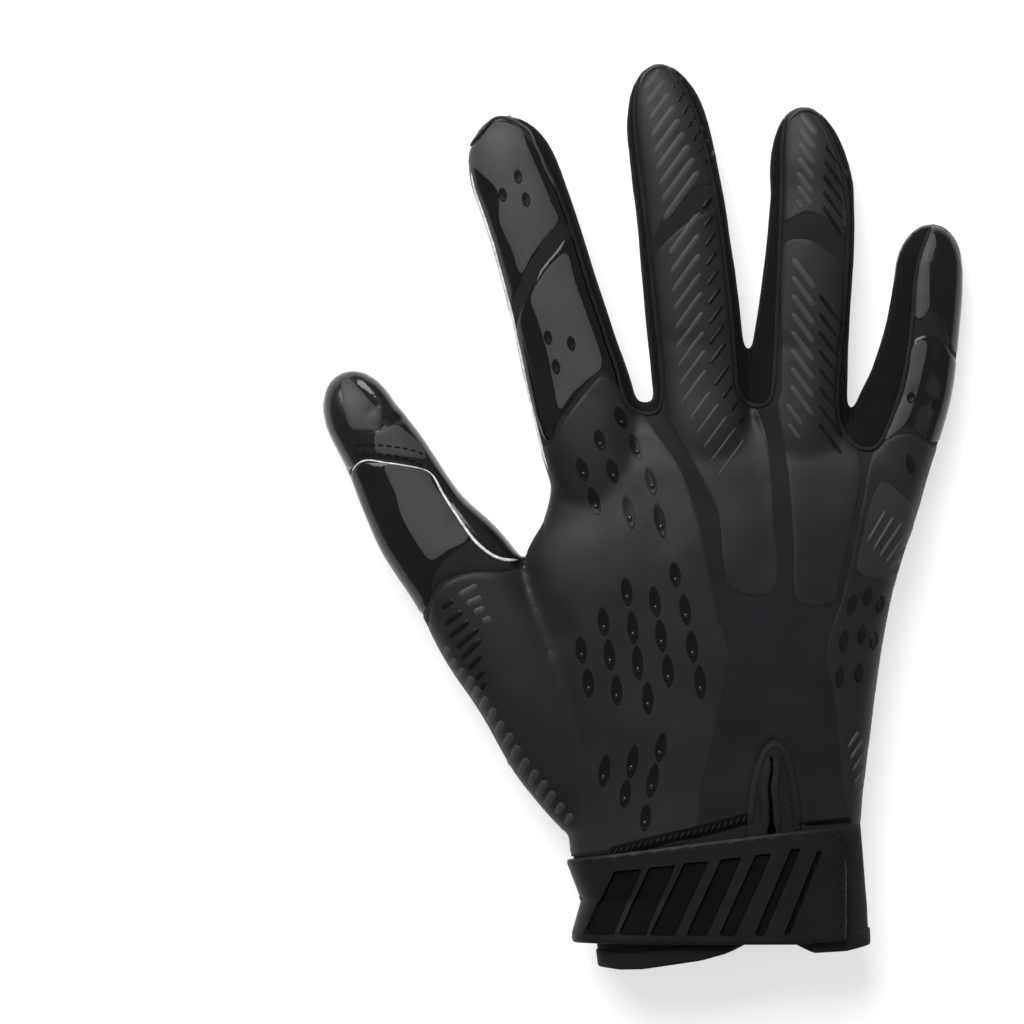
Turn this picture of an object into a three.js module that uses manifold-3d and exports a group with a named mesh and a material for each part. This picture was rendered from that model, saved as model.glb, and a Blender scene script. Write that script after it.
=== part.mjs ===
// A right-hand football receiver's glove, lying palm down with the back of the hand up.
// Millimetres: +Z is up, +Y runs from the cuff to the fingertips, and the thumb is towards -X.
import * as THREE from "three";
import { mergeVertices } from "three/addons/utils/BufferGeometryUtils.js";
import Module from "manifold-3d";

const wasm = await Module();
wasm.setup();

// Driving sizes
const fabricWall = 1.5;
const cuffWall = 2.2;
const seamGap = 0.3; // left open along every seam, so that each panel is a solid of its own
const sectionPower = 2.4; // 2 is an ellipse, and more is squarer
const fingerSides = 18;
const palmSides = 30;
const domeRings = 4; // rings that round off a fingertip
const tall = 80; // more than the height of anything here
const wide = 400; // more than the length of anything here
const cutThrough = 3; // how far a hollow runs on past an open end

// A table with named columns: one object for each row.
function table(columns, rows) {
  return rows.map((row) => Object.fromEntries(columns.map((name, c) => [name, row[c]])));
}

// The centre line of each finger from its root inside the hand to where its tip starts to round,
// with half its width and the heights of its underside and its back. A negative underside is pressed flat.
const limbColumns = ["x", "y", "half", "low", "high"];
const fingers = {
  index: {
    tip: { x: -39.2, y: 107.7, z: 5.5 },
    rows: table(limbColumns, [
      [-7.2, -1.6, 12.0, 0.5, 20.0],
      [-11.3, 11.9, 13.6, -0.6, 21.5],
      [-16.0, 30.8, 14.0, -0.4, 20.0],
      [-20.5, 47.0, 13.0, 0.6, 18.8],
      [-25.0, 63.2, 12.3, 0.8, 17.6],
      [-30.0, 79.4, 12.0, 0.2, 16.0],
      [-34.2, 91.5, 12.2, -0.6, 14.4],
    ]),
  },
  middle: {
    tip: { x: 3.8, y: 122.4, z: 5.5 },
    rows: table(limbColumns, [
      [19.5, 4.5, 12.0, 0.5, 21.0],
      [17.6, 20.7, 12.8, -0.6, 22.0],
      [15.7, 36.2, 12.8, -0.4, 20.4],
      [13.4, 57.8, 12.7, 0.9, 19.0],
      [10.9, 79.4, 12.1, 0.8, 17.2],
      [7.9, 99.6, 11.5, -0.6, 14.6],
    ]),
  },
  ring: {
    tip: { x: 43.0, y: 110.6, z: 5.5 },
    rows: table(limbColumns, [
      [41.4, 4.2, 12.0, 0.5, 20.4],
      [41.9, 20.7, 13.0, -0.6, 21.4],
      [42.4, 38.9, 13.3, -0.2, 19.4],
      [43.7, 52.4, 12.6, 0.8, 18.4],
      [45.4, 71.3, 11.8, 0.7, 16.8],
      [46.1, 87.5, 11.3, -0.6, 14.2],
    ]),
  },
  little: {
    tip: { x: 79.4, y: 78.8, z: 5.2 },
    rows: table(limbColumns, [
      [57.4, -18.0, 8.0, 3.0, 17.0],
      [61.3, -1.6, 12.0, 0.3, 18.8],
      [64.6, 11.9, 12.6, -0.5, 18.8],
      [69.2, 25.4, 12.2, -0.3, 17.6],
      [73.0, 36.2, 11.2, 0.4, 16.6],
      [75.8, 50.0, 9.9, 0.5, 15.4],
      [77.7, 65.3, 9.1, -0.6, 13.4],
    ]),
  },
};
const thumb = {
  tip: { x: -81.4, y: 38.2, z: 5.8 },
  rows: table(limbColumns, [
    [-6.9, -84.0, 10.5, 3.0, 18.0],
    [-14.6, -74.0, 12.9, 1.0, 19.0],
    [-21.5, -62.4, 14.8, -0.5, 20.5],
    [-29.9, -47.5, 14.8, -0.8, 21.5],
    [-38.6, -32.4, 16.0, -0.8, 21.5],
    [-47.7, -16.9, 15.4, -0.8, 20.5],
    [-59.1, -3.0, 13.4, -0.8, 19.0],
    [-68.4, 14.4, 11.4, -0.8, 17.0],
    [-75.3, 25.4, 10.0, -0.8, 15.2],
  ]),
};

// The hand from the wrist seam to the webs between the fingers: the two ends of each slanting cross-section.
const handColumns = ["leftX", "leftY", "rightX", "rightY", "low", "high"];
const palmRows = table(handColumns, [
  [-19.1, -92.3, 58.9, -83.7, 0.9, 24.2],
  [-20.5, -77.2, 59.7, -74.5, -0.6, 24.6],
  [-24.8, -55.6, 61.9, -55.6, -1.2, 25.6],
  [-29.6, -36.7, 64.6, -36.7, -1.2, 26.2],
  [-32.9, -20.5, 67.6, -20.5, -1.2, 26.2],
  [-31.0, -9.7, 71.1, -8.4, -1.2, 25.6],
  [-25.9, -0.3, 74.6, 2.4, -1.1, 24.4],
  [-23.2, 11.9, 76.2, 13.2, -0.8, 22.4],
  [-19.4, 21.3, 73.2, 16.7, -0.6, 20.0],
]);
const webLine = { leftX: -11.3, leftY: 31.6, rightX: 67.0, rightY: 24.0, low: 8, high: 8 };

const cuffRows = table(handColumns, [
  [-10.8, -127.0, 61.6, -124.0, 1.9, 25.2],
  [-12.2, -116.0, 61.2, -113.0, 1.9, 25.2],
  [-14.0, -104.0, 60.4, -101.0, 1.9, 24.8],
  [-18.3, -92.7, 58.9, -84.1, 1.9, 24.2],
]);
const hemHeight = 4.6;
const hemProud = 0.5;

// Height of the seam between the palm's panel and what is above it, along the hand.
const seamRows = table(["y", "z"], [
  [-130, 12],
  [-60, 11.5],
  [-5, 10],
  [25, 8],
  [50, 7],
  [130, 6],
]);

// Lines of the back's other seams, seen from above: each goes down one finger, round the web and up the next.
const planColumns = ["x", "y"];
const webSeams = {
  indexMiddle: table(planColumns, [
    [-34.8, 108.2],
    [-27.8, 98.0],
    [-20.4, 81.0],
    [-14.2, 61.4],
    [-7.0, 40.0],
    [-4.6, 30.6],
    [-0.6, 27.4],
    [3.2, 27.2],
    [5.4, 31.0],
    [3.7, 52.4],
    [0.4, 84.8],
    [-1.9, 104.0],
    [-1.6, 115.0],
    [1.6, 123.6],
  ]),
  middleRing: table(planColumns, [
    [6.8, 122.6],
    [13.8, 110.0],
    [17.8, 96.0],
    [21.5, 76.0],
    [25.2, 43.0],
    [25.6, 34.0],
    [28.8, 29.6],
    [32.6, 29.2],
    [35.2, 33.0],
    [36.3, 52.0],
    [37.6, 84.8],
    [38.0, 101.0],
    [40.2, 111.4],
  ]),
  ringLittle: table(planColumns, [
    [46.6, 110.2],
    [52.6, 98.0],
    [55.6, 84.0],
    [54.8, 58.0],
    [52.6, 30.0],
    [55.0, 21.0],
    [58.6, 17.6],
    [62.8, 17.6],
    [65.8, 22.2],
    [70.3, 34.8],
    [72.8, 49.6],
    [74.6, 67.4],
    [79.4, 80.2],
  ]),
};
// Where the grip material that wraps the thumb's tip and inner side ends on its back.
const thumbWrapSeam = table(planColumns, [
  [-84.0, 8.6],
  [-78.4, 12.6],
  [-73.5, 14.8],
  [-64.0, 14.3],
  [-57.7, 12.2],
  [-53.4, 6.8],
  [-48.3, -2.6],
  [-42.8, -9.3],
  [-37.2, -12.8],
  [-32.0, -14.2],
]);
// Where the thumb's two panels join the hand.
const thumbRootSeam = table(planColumns, [
  [-64.0, -35.0],
  [-58.4, -25.0],
  [-54.6, -18.8],
  [-47.6, -15.8],
  [-39.6, -15.6],
  [-32.0, -14.2],
]);
const thumbOutside = table(planColumns, [
  [-31.6, -8.0],
  [-44.0, 30.0],
  [-60.0, 60.0],
  [-110.0, 60.0],
  [-110.0, -35.0],
]);

// The vent on the back of the wrist: an arched opening whose binding leaves a slit.
const vent = { x: 35.4, top: -60.6, bottom: -89.5, half: 7.0, proud: 0.7, corners: 12 };
const ventSlit = { x: 34.6, top: -65.0, half: 1.0 };
// The slit goes on through the back of the cuff and widens to its hem.
const cuffSlit = { top: -80.0, bottom: -130.0, topHalf: 1.0, bottomHalf: 7.0 };
// The cuff's lower edge, from the thumb's side to the little finger's.
const hemLine = table(planColumns, [
  [-14.0, -121.6],
  [-6.0, -122.5],
  [0.0, -122.3],
  [15.7, -119.9],
  [29.6, -115.8],
  [41.6, -115.8],
  [46.0, -117.9],
  [54.9, -117.5],
  [64.3, -115.3],
]);

// The closure strap lies over the back of the cuff, and its free corner stands out past the thumb's side.
const strap = { clearance: 0.4, thickness: 1.9, windowDepth: 0.7, endHeight: 8.0 };
const strapRows = table(handColumns, [
  [-16.8, -118.0, 61.4, -117.0, 1.6, 26.2],
  [-16.6, -113.0, 61.2, -112.0, 1.6, 26.2],
  [-14.0, -104.0, 60.4, -101.0, 1.6, 25.8],
  [-19.7, -89.0, 58.4, -80.4, 1.6, 25.2],
]);
const strapOutline = table(planColumns, [
  [-40.0, -92.0],
  [-18.0, -92.6],
  [16.0, -88.2],
  [37.0, -85.6],
  [54.1, -84.1],
  [54.1, -114.4],
  [42.0, -115.5],
  [-16.4, -115.4],
  [-18.2, -114.6],
  [-19.0, -112.8],
  [-40.0, -112.8],
]);
// The slanting windows moulded into the strap: where each starts along its upper and lower edges, and its width.
const strapWindows = table(["upperX", "lowerX", "upperY", "width"], [
  [-7.0, -14.3, -95.8, 7.3],
  [2.0, -5.9, -94.8, 7.0],
  [11.2, 2.2, -93.7, 6.6],
  [21.0, 11.7, -92.6, 5.6],
  [30.2, 20.4, -91.5, 4.4],
  [39.5, 29.8, -90.0, 2.7],
  [46.4, 37.6, -90.6, 1.5],
]);
const windowFoot = -113.1;

const hookPad = { clearance: 0.35, thickness: 0.65 };
const hookPadOutline = table(planColumns, [
  [-6.0, -97.0],
  [14.0, -95.0],
  [14.0, -112.0],
  [-6.0, -112.0],
]);
const pullTab = { low: 0.2, thickness: 0.9 };
const pullTabOutline = table(planColumns, [
  [7.6, -91.2],
  [22.4, -89.6],
  [25.2, -119.4],
  [10.0, -121.2],
]);

// A solid from a closed mesh's points and triangles.
function solidOf(points, corners) {
  const vertProperties = new Float32Array(points.flatMap((p) => [p.x, p.y, p.z]));
  return new wasm.Manifold(new wasm.Mesh({ numProp: 3, vertProperties, triVerts: new Uint32Array(corners) }));
}

function solidFromGeometry(geometry) {
  geometry.deleteAttribute("normal").deleteAttribute("uv");
  const merged = mergeVertices(geometry, 1e-4);
  const place = merged.getAttribute("position");
  const points = Array.from({ length: place.count }, (_, i) => new THREE.Vector3().fromBufferAttribute(place, i));
  return solidOf(points, Array.from(merged.index.array));
}

function joined(solids) {
  return solids.reduce((sum, next) => sum.add(next));
}

// Cutting can leave crumbs beside a panel: the panel is the biggest body.
function mainBody(solid) {
  return solid.decompose().sort((a, b) => b.volume() - a.volume())[0];
}

// A solid standing on an outline seen from above.
function prism(outline, low, high) {
  const shape = new THREE.Shape(outline.map((p) => new THREE.Vector2(p.x, p.y)));
  const geometry = new THREE.ExtrudeGeometry(shape, { depth: high - low, bevelEnabled: false });
  return solidFromGeometry(geometry.translate(0, 0, low));
}

// An outline moved out by a distance all round.
function grown(outline, by) {
  const points = outline.map((p) => new THREE.Vector2(p.x, p.y));
  const turn = THREE.ShapeUtils.area(points) > 0 ? 1 : -1;
  const outwards = (from, to) => new THREE.Vector2(to.y - from.y, from.x - to.x).normalize().multiplyScalar(turn);
  return points.map((point, i) => {
    const before = outwards(points.at(i - 1), point);
    const after = outwards(point, points[(i + 1) % points.length]);
    const miter = before.clone().add(after).normalize();
    return point.clone().addScaledVector(miter, by / Math.max(miter.dot(after), 0.5));
  });
}

// Everything on one side of the side seam: above it, or below it.
function besideSeam(above) {
  const side = above ? 1 : -1;
  const edge = seamRows.map((row) => ({ x: row.y, y: row.z + (side * seamGap) / 2 }));
  const far = [
    { x: seamRows.at(-1).y, y: side * tall },
    { x: seamRows[0].y, y: side * tall },
  ];
  const slab = new THREE.Shape([...edge, ...far].map((p) => new THREE.Vector2(p.x, p.y)));
  const geometry = new THREE.ExtrudeGeometry(slab, { depth: wide, bevelEnabled: false });
  const upright = new THREE.Matrix4().makeBasis(
    new THREE.Vector3(0, 1, 0),
    new THREE.Vector3(0, 0, 1),
    new THREE.Vector3(1, 0, 0),
  );
  return solidFromGeometry(geometry.applyMatrix4(upright).translate(-wide / 2, 0, 0));
}

const blend = (from, to, share) => from + (to - from) * share;

function blendRows(from, to, share) {
  return Object.fromEntries(Object.keys(to).map((name) => [name, blend(from[name], to[name], share)]));
}

// A row moved out all round by a distance, or in by a negative one.
function grownRow(row, by) {
  const across = new THREE.Vector2(row.rightX - row.leftX, row.rightY - row.leftY).setLength(by);
  return {
    leftX: row.leftX - across.x,
    leftY: row.leftY - across.y,
    rightX: row.rightX + across.x,
    rightY: row.rightY + across.y,
    low: row.low - by,
    high: row.high + by,
  };
}

// Rows carried on past both ends, so that a hollow cuts right through.
function carriedOn(rows, by) {
  const beyond = (end, next) => {
    const step = Math.hypot(next.leftX - end.leftX, next.leftY - end.leftY);
    return blendRows(end, next, -by / step);
  };
  return [beyond(rows[0], rows[1]), ...rows, beyond(rows.at(-1), rows.at(-2))];
}

// A row's cross-section: a rounded oblong, pressed flat where it would go under the floor.
function ring(row, sides, floor) {
  const squared = (value) => Math.sign(value) * Math.abs(value) ** (2 / sectionPower);
  return Array.from({ length: sides }, (_, s) => {
    const angle = (2 * Math.PI * (s + 0.5)) / sides;
    const share = (squared(Math.cos(angle)) + 1) / 2;
    const rise = (squared(Math.sin(angle)) + 1) / 2;
    return new THREE.Vector3(
      blend(row.leftX, row.rightX, share),
      blend(row.leftY, row.rightY, share),
      Math.max(blend(row.low, row.high, rise), floor),
    );
  });
}

// A solid through rings of points, with a fan of triangles over each end.
function loft(rings) {
  const sides = rings[0].length;
  const middle = (points) =>
    points.reduce((sum, p) => sum.add(p), new THREE.Vector3()).divideScalar(points.length);
  const points = [...rings.flat(), middle(rings[0]), middle(rings.at(-1))];
  const [firstMiddle, lastMiddle] = [points.length - 2, points.length - 1];
  const last = (rings.length - 1) * sides;
  const corners = [];
  for (let s = 0; s < sides; s++) {
    const next = (s + 1) % sides;
    for (let r = 0; r < last; r += sides) {
      corners.push(r + s, r + sides + next, r + next, r + s, r + sides + s, r + sides + next);
    }
    corners.push(firstMiddle, s, next, lastMiddle, last + next, last + s);
  }
  return solidOf(points, corners);
}

// Rows that round an end off: the middle goes out along a sine and the size goes down along a cosine.
function roundedOff(row, end) {
  const ends = [["leftX", "rightX"], ["leftY", "rightY"], ["low", "high"]];
  return Array.from({ length: domeRings }, (_, r) => {
    const angle = ((r + 1) / (domeRings + 0.5)) * (Math.PI / 2);
    const rounded = ends.flatMap(([from, to]) => {
      const middle = blend(row[from] + row[to], end[from] + end[to], Math.sin(angle)) / 2;
      const half = blend(end[to] - end[from], row[to] - row[from], Math.cos(angle)) / 2;
      return [[from, middle - half], [to, middle + half]];
    });
    return Object.fromEntries(rounded);
  });
}

// The solid form through rows, moved out or in by a distance, with its last end rounded off if an end row is given.
function form(rows, sides, by = 0, end = undefined) {
  const moved = rows.map((row) => grownRow(row, by));
  const rounded = end ? roundedOff(moved.at(-1), end) : [];
  return loft([...moved, ...rounded].map((row) => ring(row, sides, Math.max(-by, 0))));
}

// A limb's rows lie square to its centre line, and it ends in a rounded tip.
function limbForm({ rows, tip }, by = 0) {
  const line = [...rows, tip];
  const direction = (i) => new THREE.Vector2(line[i + 1].x - line[i].x, line[i + 1].y - line[i].y).normalize();
  const across = rows.map((row, i) => {
    const along = direction(i).add(direction(Math.max(i - 1, 0))).normalize();
    const [sideX, sideY] = [along.y * row.half, -along.x * row.half];
    return {
      leftX: row.x - sideX,
      leftY: row.y - sideY,
      rightX: row.x + sideX,
      rightY: row.y + sideY,
      low: row.low,
      high: row.high,
    };
  });
  const out = direction(rows.length - 1).multiplyScalar(by);
  const [x, y] = [tip.x + out.x, tip.y + out.y];
  return form(across, fingerSides, by, { leftX: x, leftY: y, rightX: x, rightY: y, low: tip.z, high: tip.z });
}

function handForm(by = 0) {
  const rows = by < 0 ? carriedOn(palmRows, cutThrough).slice(0, -1) : palmRows;
  return form(rows, palmSides, by, { ...webLine, leftY: webLine.leftY + by, rightY: webLine.rightY + by });
}

function wholeForm(by = 0) {
  return joined([handForm(by), ...Object.values(fingers).map((finger) => limbForm(finger, by)), limbForm(thumb, by)]);
}

// A band of the cuff or the strap, between two distances from its rows.
function band(rows, from, to) {
  return form(rows, palmSides, to).subtract(form(carriedOn(rows, cutThrough), palmSides, from));
}

// The hand's shell, cut into panels along its seams
function makePanels() {
  const shell = wholeForm().subtract(wholeForm(-fabricWall));
  const above = shell.intersect(besideSeam(true));
  const below = shell.intersect(besideSeam(false));
  const thumbOutline = [...thumbRootSeam, ...thumbOutside];
  const wrapOutline = [...thumbWrapSeam, ...thumbOutside.slice(0, -1)];
  const thumbSide = prism(thumbOutline, -tall, tall);
  const pastThumb = prism(grown(thumbOutline, seamGap), -tall, tall);
  const wrap = prism(wrapOutline, -tall, tall);
  const pastWrap = prism(grown(wrapOutline, seamGap), -tall, tall);
  const opening = prism(grown(ventOutline(), seamGap), seamRows[0].z, tall);

  const panels = {
    palm_panel: below.subtract(pastThumb),
    thumb_palm: joined([below.intersect(thumbSide), shell.intersect(thumbSide).intersect(wrap)]),
    thumb_back: above.intersect(thumbSide).subtract(pastWrap),
  };
  let back = above.subtract(pastThumb).subtract(opening);
  for (const [name, line] of Object.entries(webSeams)) {
    panels[`gusset_${name}`] = above.intersect(prism(line, 0, tall));
    back = back.subtract(prism(grown(line, seamGap), 0, tall));
  }
  return { back_panel: back, ...panels };
}

// The vent's outline is an arch that stands on the wrist seam.
function ventOutline() {
  return Array.from({ length: vent.corners + 1 }, (_, i) => {
    const angle = (Math.PI * i) / vent.corners;
    return {
      x: vent.x + vent.half * Math.cos(angle),
      y: blend(vent.bottom, vent.top, Math.sin(angle)),
    };
  });
}

function makeVent() {
  const [left, right] = [ventSlit.x - ventSlit.half, ventSlit.x + ventSlit.half];
  const slit = [
    { x: left, y: ventSlit.top },
    { x: left, y: vent.bottom },
    { x: right, y: vent.bottom },
    { x: right, y: ventSlit.top },
  ];
  const wall = form(palmRows, palmSides, vent.proud).subtract(handForm(-fabricWall));
  return wall.intersect(prism(ventOutline(), seamRows[0].z, tall)).subtract(prism(slit, 0, tall));
}

function makeCuff() {
  const wall = band(cuffRows, -cuffWall, 0);
  const hem = band(cuffRows, -cuffWall, hemProud);
  const aboveLine = (by) => prism([...hemLine.map((p) => ({ x: p.x, y: p.y + by })), ...cuffSides(by)], -tall, tall);
  const slit = [
    { x: ventSlit.x - cuffSlit.topHalf, y: cuffSlit.top },
    { x: ventSlit.x - cuffSlit.bottomHalf, y: cuffSlit.bottom },
    { x: ventSlit.x + cuffSlit.bottomHalf, y: cuffSlit.bottom },
    { x: ventSlit.x + cuffSlit.topHalf, y: cuffSlit.top },
  ];
  const backOnly = (cuffRows[0].low + cuffRows[0].high) / 2;
  return joined([wall, hem.subtract(aboveLine(hemHeight))])
    .intersect(aboveLine(0))
    .subtract(prism(slit, backOnly, tall));
}

// The hem's line carried out past the cuff's sides and back over the wrist.
function cuffSides(by) {
  const [first, last] = [hemLine[0], hemLine.at(-1)];
  return [
    { x: wide / 2, y: last.y + by },
    { x: wide / 2, y: 0 },
    { x: -wide / 2, y: 0 },
    { x: -wide / 2, y: first.y + by },
  ];
}

function makeStrap() {
  const [inside, outside] = [strap.clearance, strap.clearance + strap.thickness];
  const blank = band(strapRows, inside, outside).intersect(prism(strapOutline, strap.endHeight, tall));
  const windows = strapWindows.map(({ upperX, lowerX, upperY, width }) =>
    prism(
      [
        { x: upperX, y: upperY },
        { x: lowerX, y: windowFoot },
        { x: lowerX + width, y: windowFoot },
        { x: upperX + width, y: upperY },
      ],
      strap.endHeight,
      tall,
    ),
  );
  const core = form(strapRows, palmSides, outside - strap.windowDepth);
  return blank.subtract(joined(windows).subtract(core));
}

function makeHookPatch() {
  const layer = band(cuffRows, hookPad.clearance, hookPad.clearance + hookPad.thickness);
  return layer.intersect(prism(hookPadOutline, strap.endHeight, tall));
}

function makePullTab() {
  return prism(pullTabOutline, pullTab.low, pullTab.low + pullTab.thickness);
}

// Colours and finishes
const finishes = {
  backFabric: { color: 0x26262a, roughness: 0.8, metalness: 0 },
  gripSilicone: { color: 0x3c3c3e, roughness: 0.3, metalness: 0 },
  gussetFabric: { color: 0x1c1c1f, roughness: 0.9, metalness: 0 },
  binding: { color: 0x222226, roughness: 0.7, metalness: 0 },
  neoprene: { color: 0x1e1e21, roughness: 0.85, metalness: 0 },
  strapRubber: { color: 0x202022, roughness: 0.45, metalness: 0 },
  hookTape: { color: 0x161618, roughness: 0.95, metalness: 0 },
  ribbon: { color: 0x2a2a2c, roughness: 0.8, metalness: 0 },
};

function node(name, solid, finish) {
  const mesh = mainBody(solid).getMesh();
  const geometry = new THREE.BufferGeometry();
  geometry.setAttribute("position", new THREE.BufferAttribute(new Float32Array(mesh.vertProperties), 3));
  geometry.setIndex(new THREE.BufferAttribute(new Uint32Array(mesh.triVerts), 1));
  geometry.computeVertexNormals();
  const piece = new THREE.Mesh(geometry, new THREE.MeshStandardMaterial(finishes[finish]));
  piece.name = name;
  return piece;
}

const panels = makePanels();
const glove = new THREE.Group();
glove.add(
  node("back_panel", panels.back_panel, "backFabric"),
  node("palm_panel", panels.palm_panel, "gripSilicone"),
  node("thumb_back", panels.thumb_back, "backFabric"),
  node("thumb_palm", panels.thumb_palm, "gripSilicone"),
  node("gusset_index_middle", panels.gusset_indexMiddle, "gussetFabric"),
  node("gusset_middle_ring", panels.gusset_middleRing, "gussetFabric"),
  node("gusset_ring_little", panels.gusset_ringLittle, "gussetFabric"),
  node("vent_placket", makeVent(), "binding"),
  node("cuff_band", makeCuff(), "neoprene"),
  node("cuff_strap", makeStrap(), "strapRubber"),
  node("hook_patch", makeHookPatch(), "hookTape"),
  node("pull_tab", makePullTab(), "ribbon"),
);

export default glove;
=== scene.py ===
import math

import bmesh
import bpy
import numpy as np
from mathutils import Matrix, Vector, noise
from mathutils.bvhtree import BVHTree
from mathutils.kdtree import KDTree


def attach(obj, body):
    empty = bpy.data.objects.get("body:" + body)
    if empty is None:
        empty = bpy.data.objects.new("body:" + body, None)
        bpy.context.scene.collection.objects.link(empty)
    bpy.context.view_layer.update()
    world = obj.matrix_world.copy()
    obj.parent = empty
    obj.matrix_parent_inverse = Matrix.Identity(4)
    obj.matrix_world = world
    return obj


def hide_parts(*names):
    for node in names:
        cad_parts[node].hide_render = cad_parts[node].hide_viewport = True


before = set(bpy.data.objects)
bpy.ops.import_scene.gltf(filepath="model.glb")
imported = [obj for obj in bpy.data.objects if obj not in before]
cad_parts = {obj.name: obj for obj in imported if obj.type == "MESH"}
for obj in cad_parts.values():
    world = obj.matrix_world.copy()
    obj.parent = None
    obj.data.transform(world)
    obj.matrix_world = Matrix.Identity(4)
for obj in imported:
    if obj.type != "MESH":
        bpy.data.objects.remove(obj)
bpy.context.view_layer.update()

# Meshes are shaped in millimetres and scaled to metres when a piece is finished
mm = 0.001
photo = {"pixel": 0.27, "middleX": -35.05, "middleY": 0.61, "half": 512}  # mm a pixel, and the frame's middle
skyHeight = 60  # from where places on the back are sought


def fromPhoto(across, down):
    # a place in the photograph's frame becomes x and y in the glove's frame
    x = photo["middleX"] + (across - photo["half"]) * photo["pixel"]
    y = photo["middleY"] - (down - photo["half"]) * photo["pixel"]
    return x, y


def mix(a, b, share):
    return a + (b - a) * share


def smoothStep(value):
    value = min(max(value, 0.0), 1.0)
    return value * value * (3 - 2 * value)


def curveThrough(points, step, closed=False):
    # points about a step apart on a smooth curve through the given ones, of any number of columns
    rows = [tuple(p) for p in points]
    count = len(rows)
    last = count if closed else count - 1
    pick = (lambda i: rows[i % count]) if closed else (lambda i: rows[min(max(i, 0), count - 1)])
    out = []
    for i in range(last):
        before, start, end, after = pick(i - 1), pick(i), pick(i + 1), pick(i + 2)
        pieces = max(1, round(math.dist(start[:2], end[:2]) / step))
        for k in range(pieces):
            t = k / pieces
            out.append(tuple(
                0.5 * (2 * q + (r - p) * t + (2 * p - 5 * q + 4 * r - s) * t * t
                       + (3 * q - p - 3 * r + s) * t ** 3)
                for p, q, r, s in zip(before, start, end, after)))
    if not closed:
        out.append(rows[-1])
    return out


# The form of the hand, in millimetres: the same rows as the frame's solids

wallThickness = 1.4
sectionPower = 2.4  # 2 would make the cross-sections ellipses
endRings = 9  # sections that round off a limb's end
seamStep = 2.0
seamHeights = [(-130, 12), (-60, 11.5), (-5, 10), (25, 8), (50, 7), (130, 6)]
# x, y, half the width, underside and back of each limb, and its tip's x, y and z
limbs = {
    "index": {"tip": (-39.2, 107.7, 5.5), "rows": [
        (-7.2, -1.6, 12.0, 0.5, 20.0), (-11.3, 11.9, 13.6, -0.6, 21.5), (-16.0, 30.8, 14.0, -0.4, 20.0),
        (-20.5, 47.0, 13.0, 0.6, 18.8), (-25.0, 63.2, 12.3, 0.8, 17.6), (-30.0, 79.4, 12.0, 0.2, 16.0),
        (-34.2, 91.5, 12.2, -0.6, 14.4)]},
    "middle": {"tip": (3.8, 122.4, 5.5), "rows": [
        (19.5, 4.5, 12.0, 0.5, 21.0), (17.6, 20.7, 12.8, -0.6, 22.0), (15.7, 36.2, 12.8, -0.4, 20.4),
        (13.4, 57.8, 12.7, 0.9, 19.0), (10.9, 79.4, 12.1, 0.8, 17.2), (7.9, 99.6, 11.5, -0.6, 14.6)]},
    "ring": {"tip": (43.0, 110.6, 5.5), "rows": [
        (41.4, 4.2, 12.0, 0.5, 20.4), (41.9, 20.7, 13.0, -0.6, 21.4), (42.4, 38.9, 13.3, -0.2, 19.4),
        (43.7, 52.4, 12.6, 0.8, 18.4), (45.4, 71.3, 11.8, 0.7, 16.8), (46.1, 87.5, 11.3, -0.6, 14.2)]},
    "little": {"tip": (79.4, 78.8, 5.2), "rows": [
        (57.4, -18.0, 8.0, 3.0, 17.0), (61.3, -1.6, 12.0, 0.3, 18.8), (64.6, 11.9, 12.6, -0.5, 18.8),
        (69.2, 25.4, 12.2, -0.3, 17.6), (73.0, 36.2, 11.2, 0.4, 16.6), (75.8, 50.0, 9.9, 0.5, 15.4),
        (77.7, 65.3, 9.1, -0.6, 13.4)]},
    "thumb": {"tip": (-81.4, 38.2, 5.8), "rows": [
        (-6.9, -84.0, 10.5, 3.0, 18.0), (-14.6, -74.0, 12.9, 1.0, 19.0), (-21.5, -62.4, 14.8, -0.5, 20.5),
        (-29.9, -47.5, 14.8, -0.8, 21.5), (-38.6, -32.4, 16.0, -0.8, 21.5), (-47.7, -16.9, 15.4, -0.8, 20.5),
        (-59.1, -3.0, 13.4, -0.8, 19.0), (-68.4, 14.4, 11.4, -0.8, 17.0), (-75.3, 25.4, 10.0, -0.8, 15.2)]},
}
# both ends of each cross-section of the hand, its underside and its back
handRows = [
    (-19.1, -92.3, 58.9, -83.7, 0.9, 24.2), (-20.5, -77.2, 59.7, -74.5, -0.6, 24.6),
    (-24.8, -55.6, 61.9, -55.6, -1.2, 25.6), (-29.6, -36.7, 64.6, -36.7, -1.2, 26.2),
    (-32.9, -20.5, 67.6, -20.5, -1.2, 26.2), (-31.0, -9.7, 71.1, -8.4, -1.2, 25.6),
    (-25.9, -0.3, 74.6, 2.4, -1.1, 24.4), (-23.2, 11.9, 76.2, 13.2, -0.8, 22.4),
    (-19.4, 21.3, 73.2, 16.7, -0.6, 20.0)]
webEnd = (-11.3, 31.6, 67.0, 24.0, 8.0, 8.0)
wristSeam = {"left": Vector((-19.1, -92.3, 0)), "right": Vector((58.9, -83.7, 0))}

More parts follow.
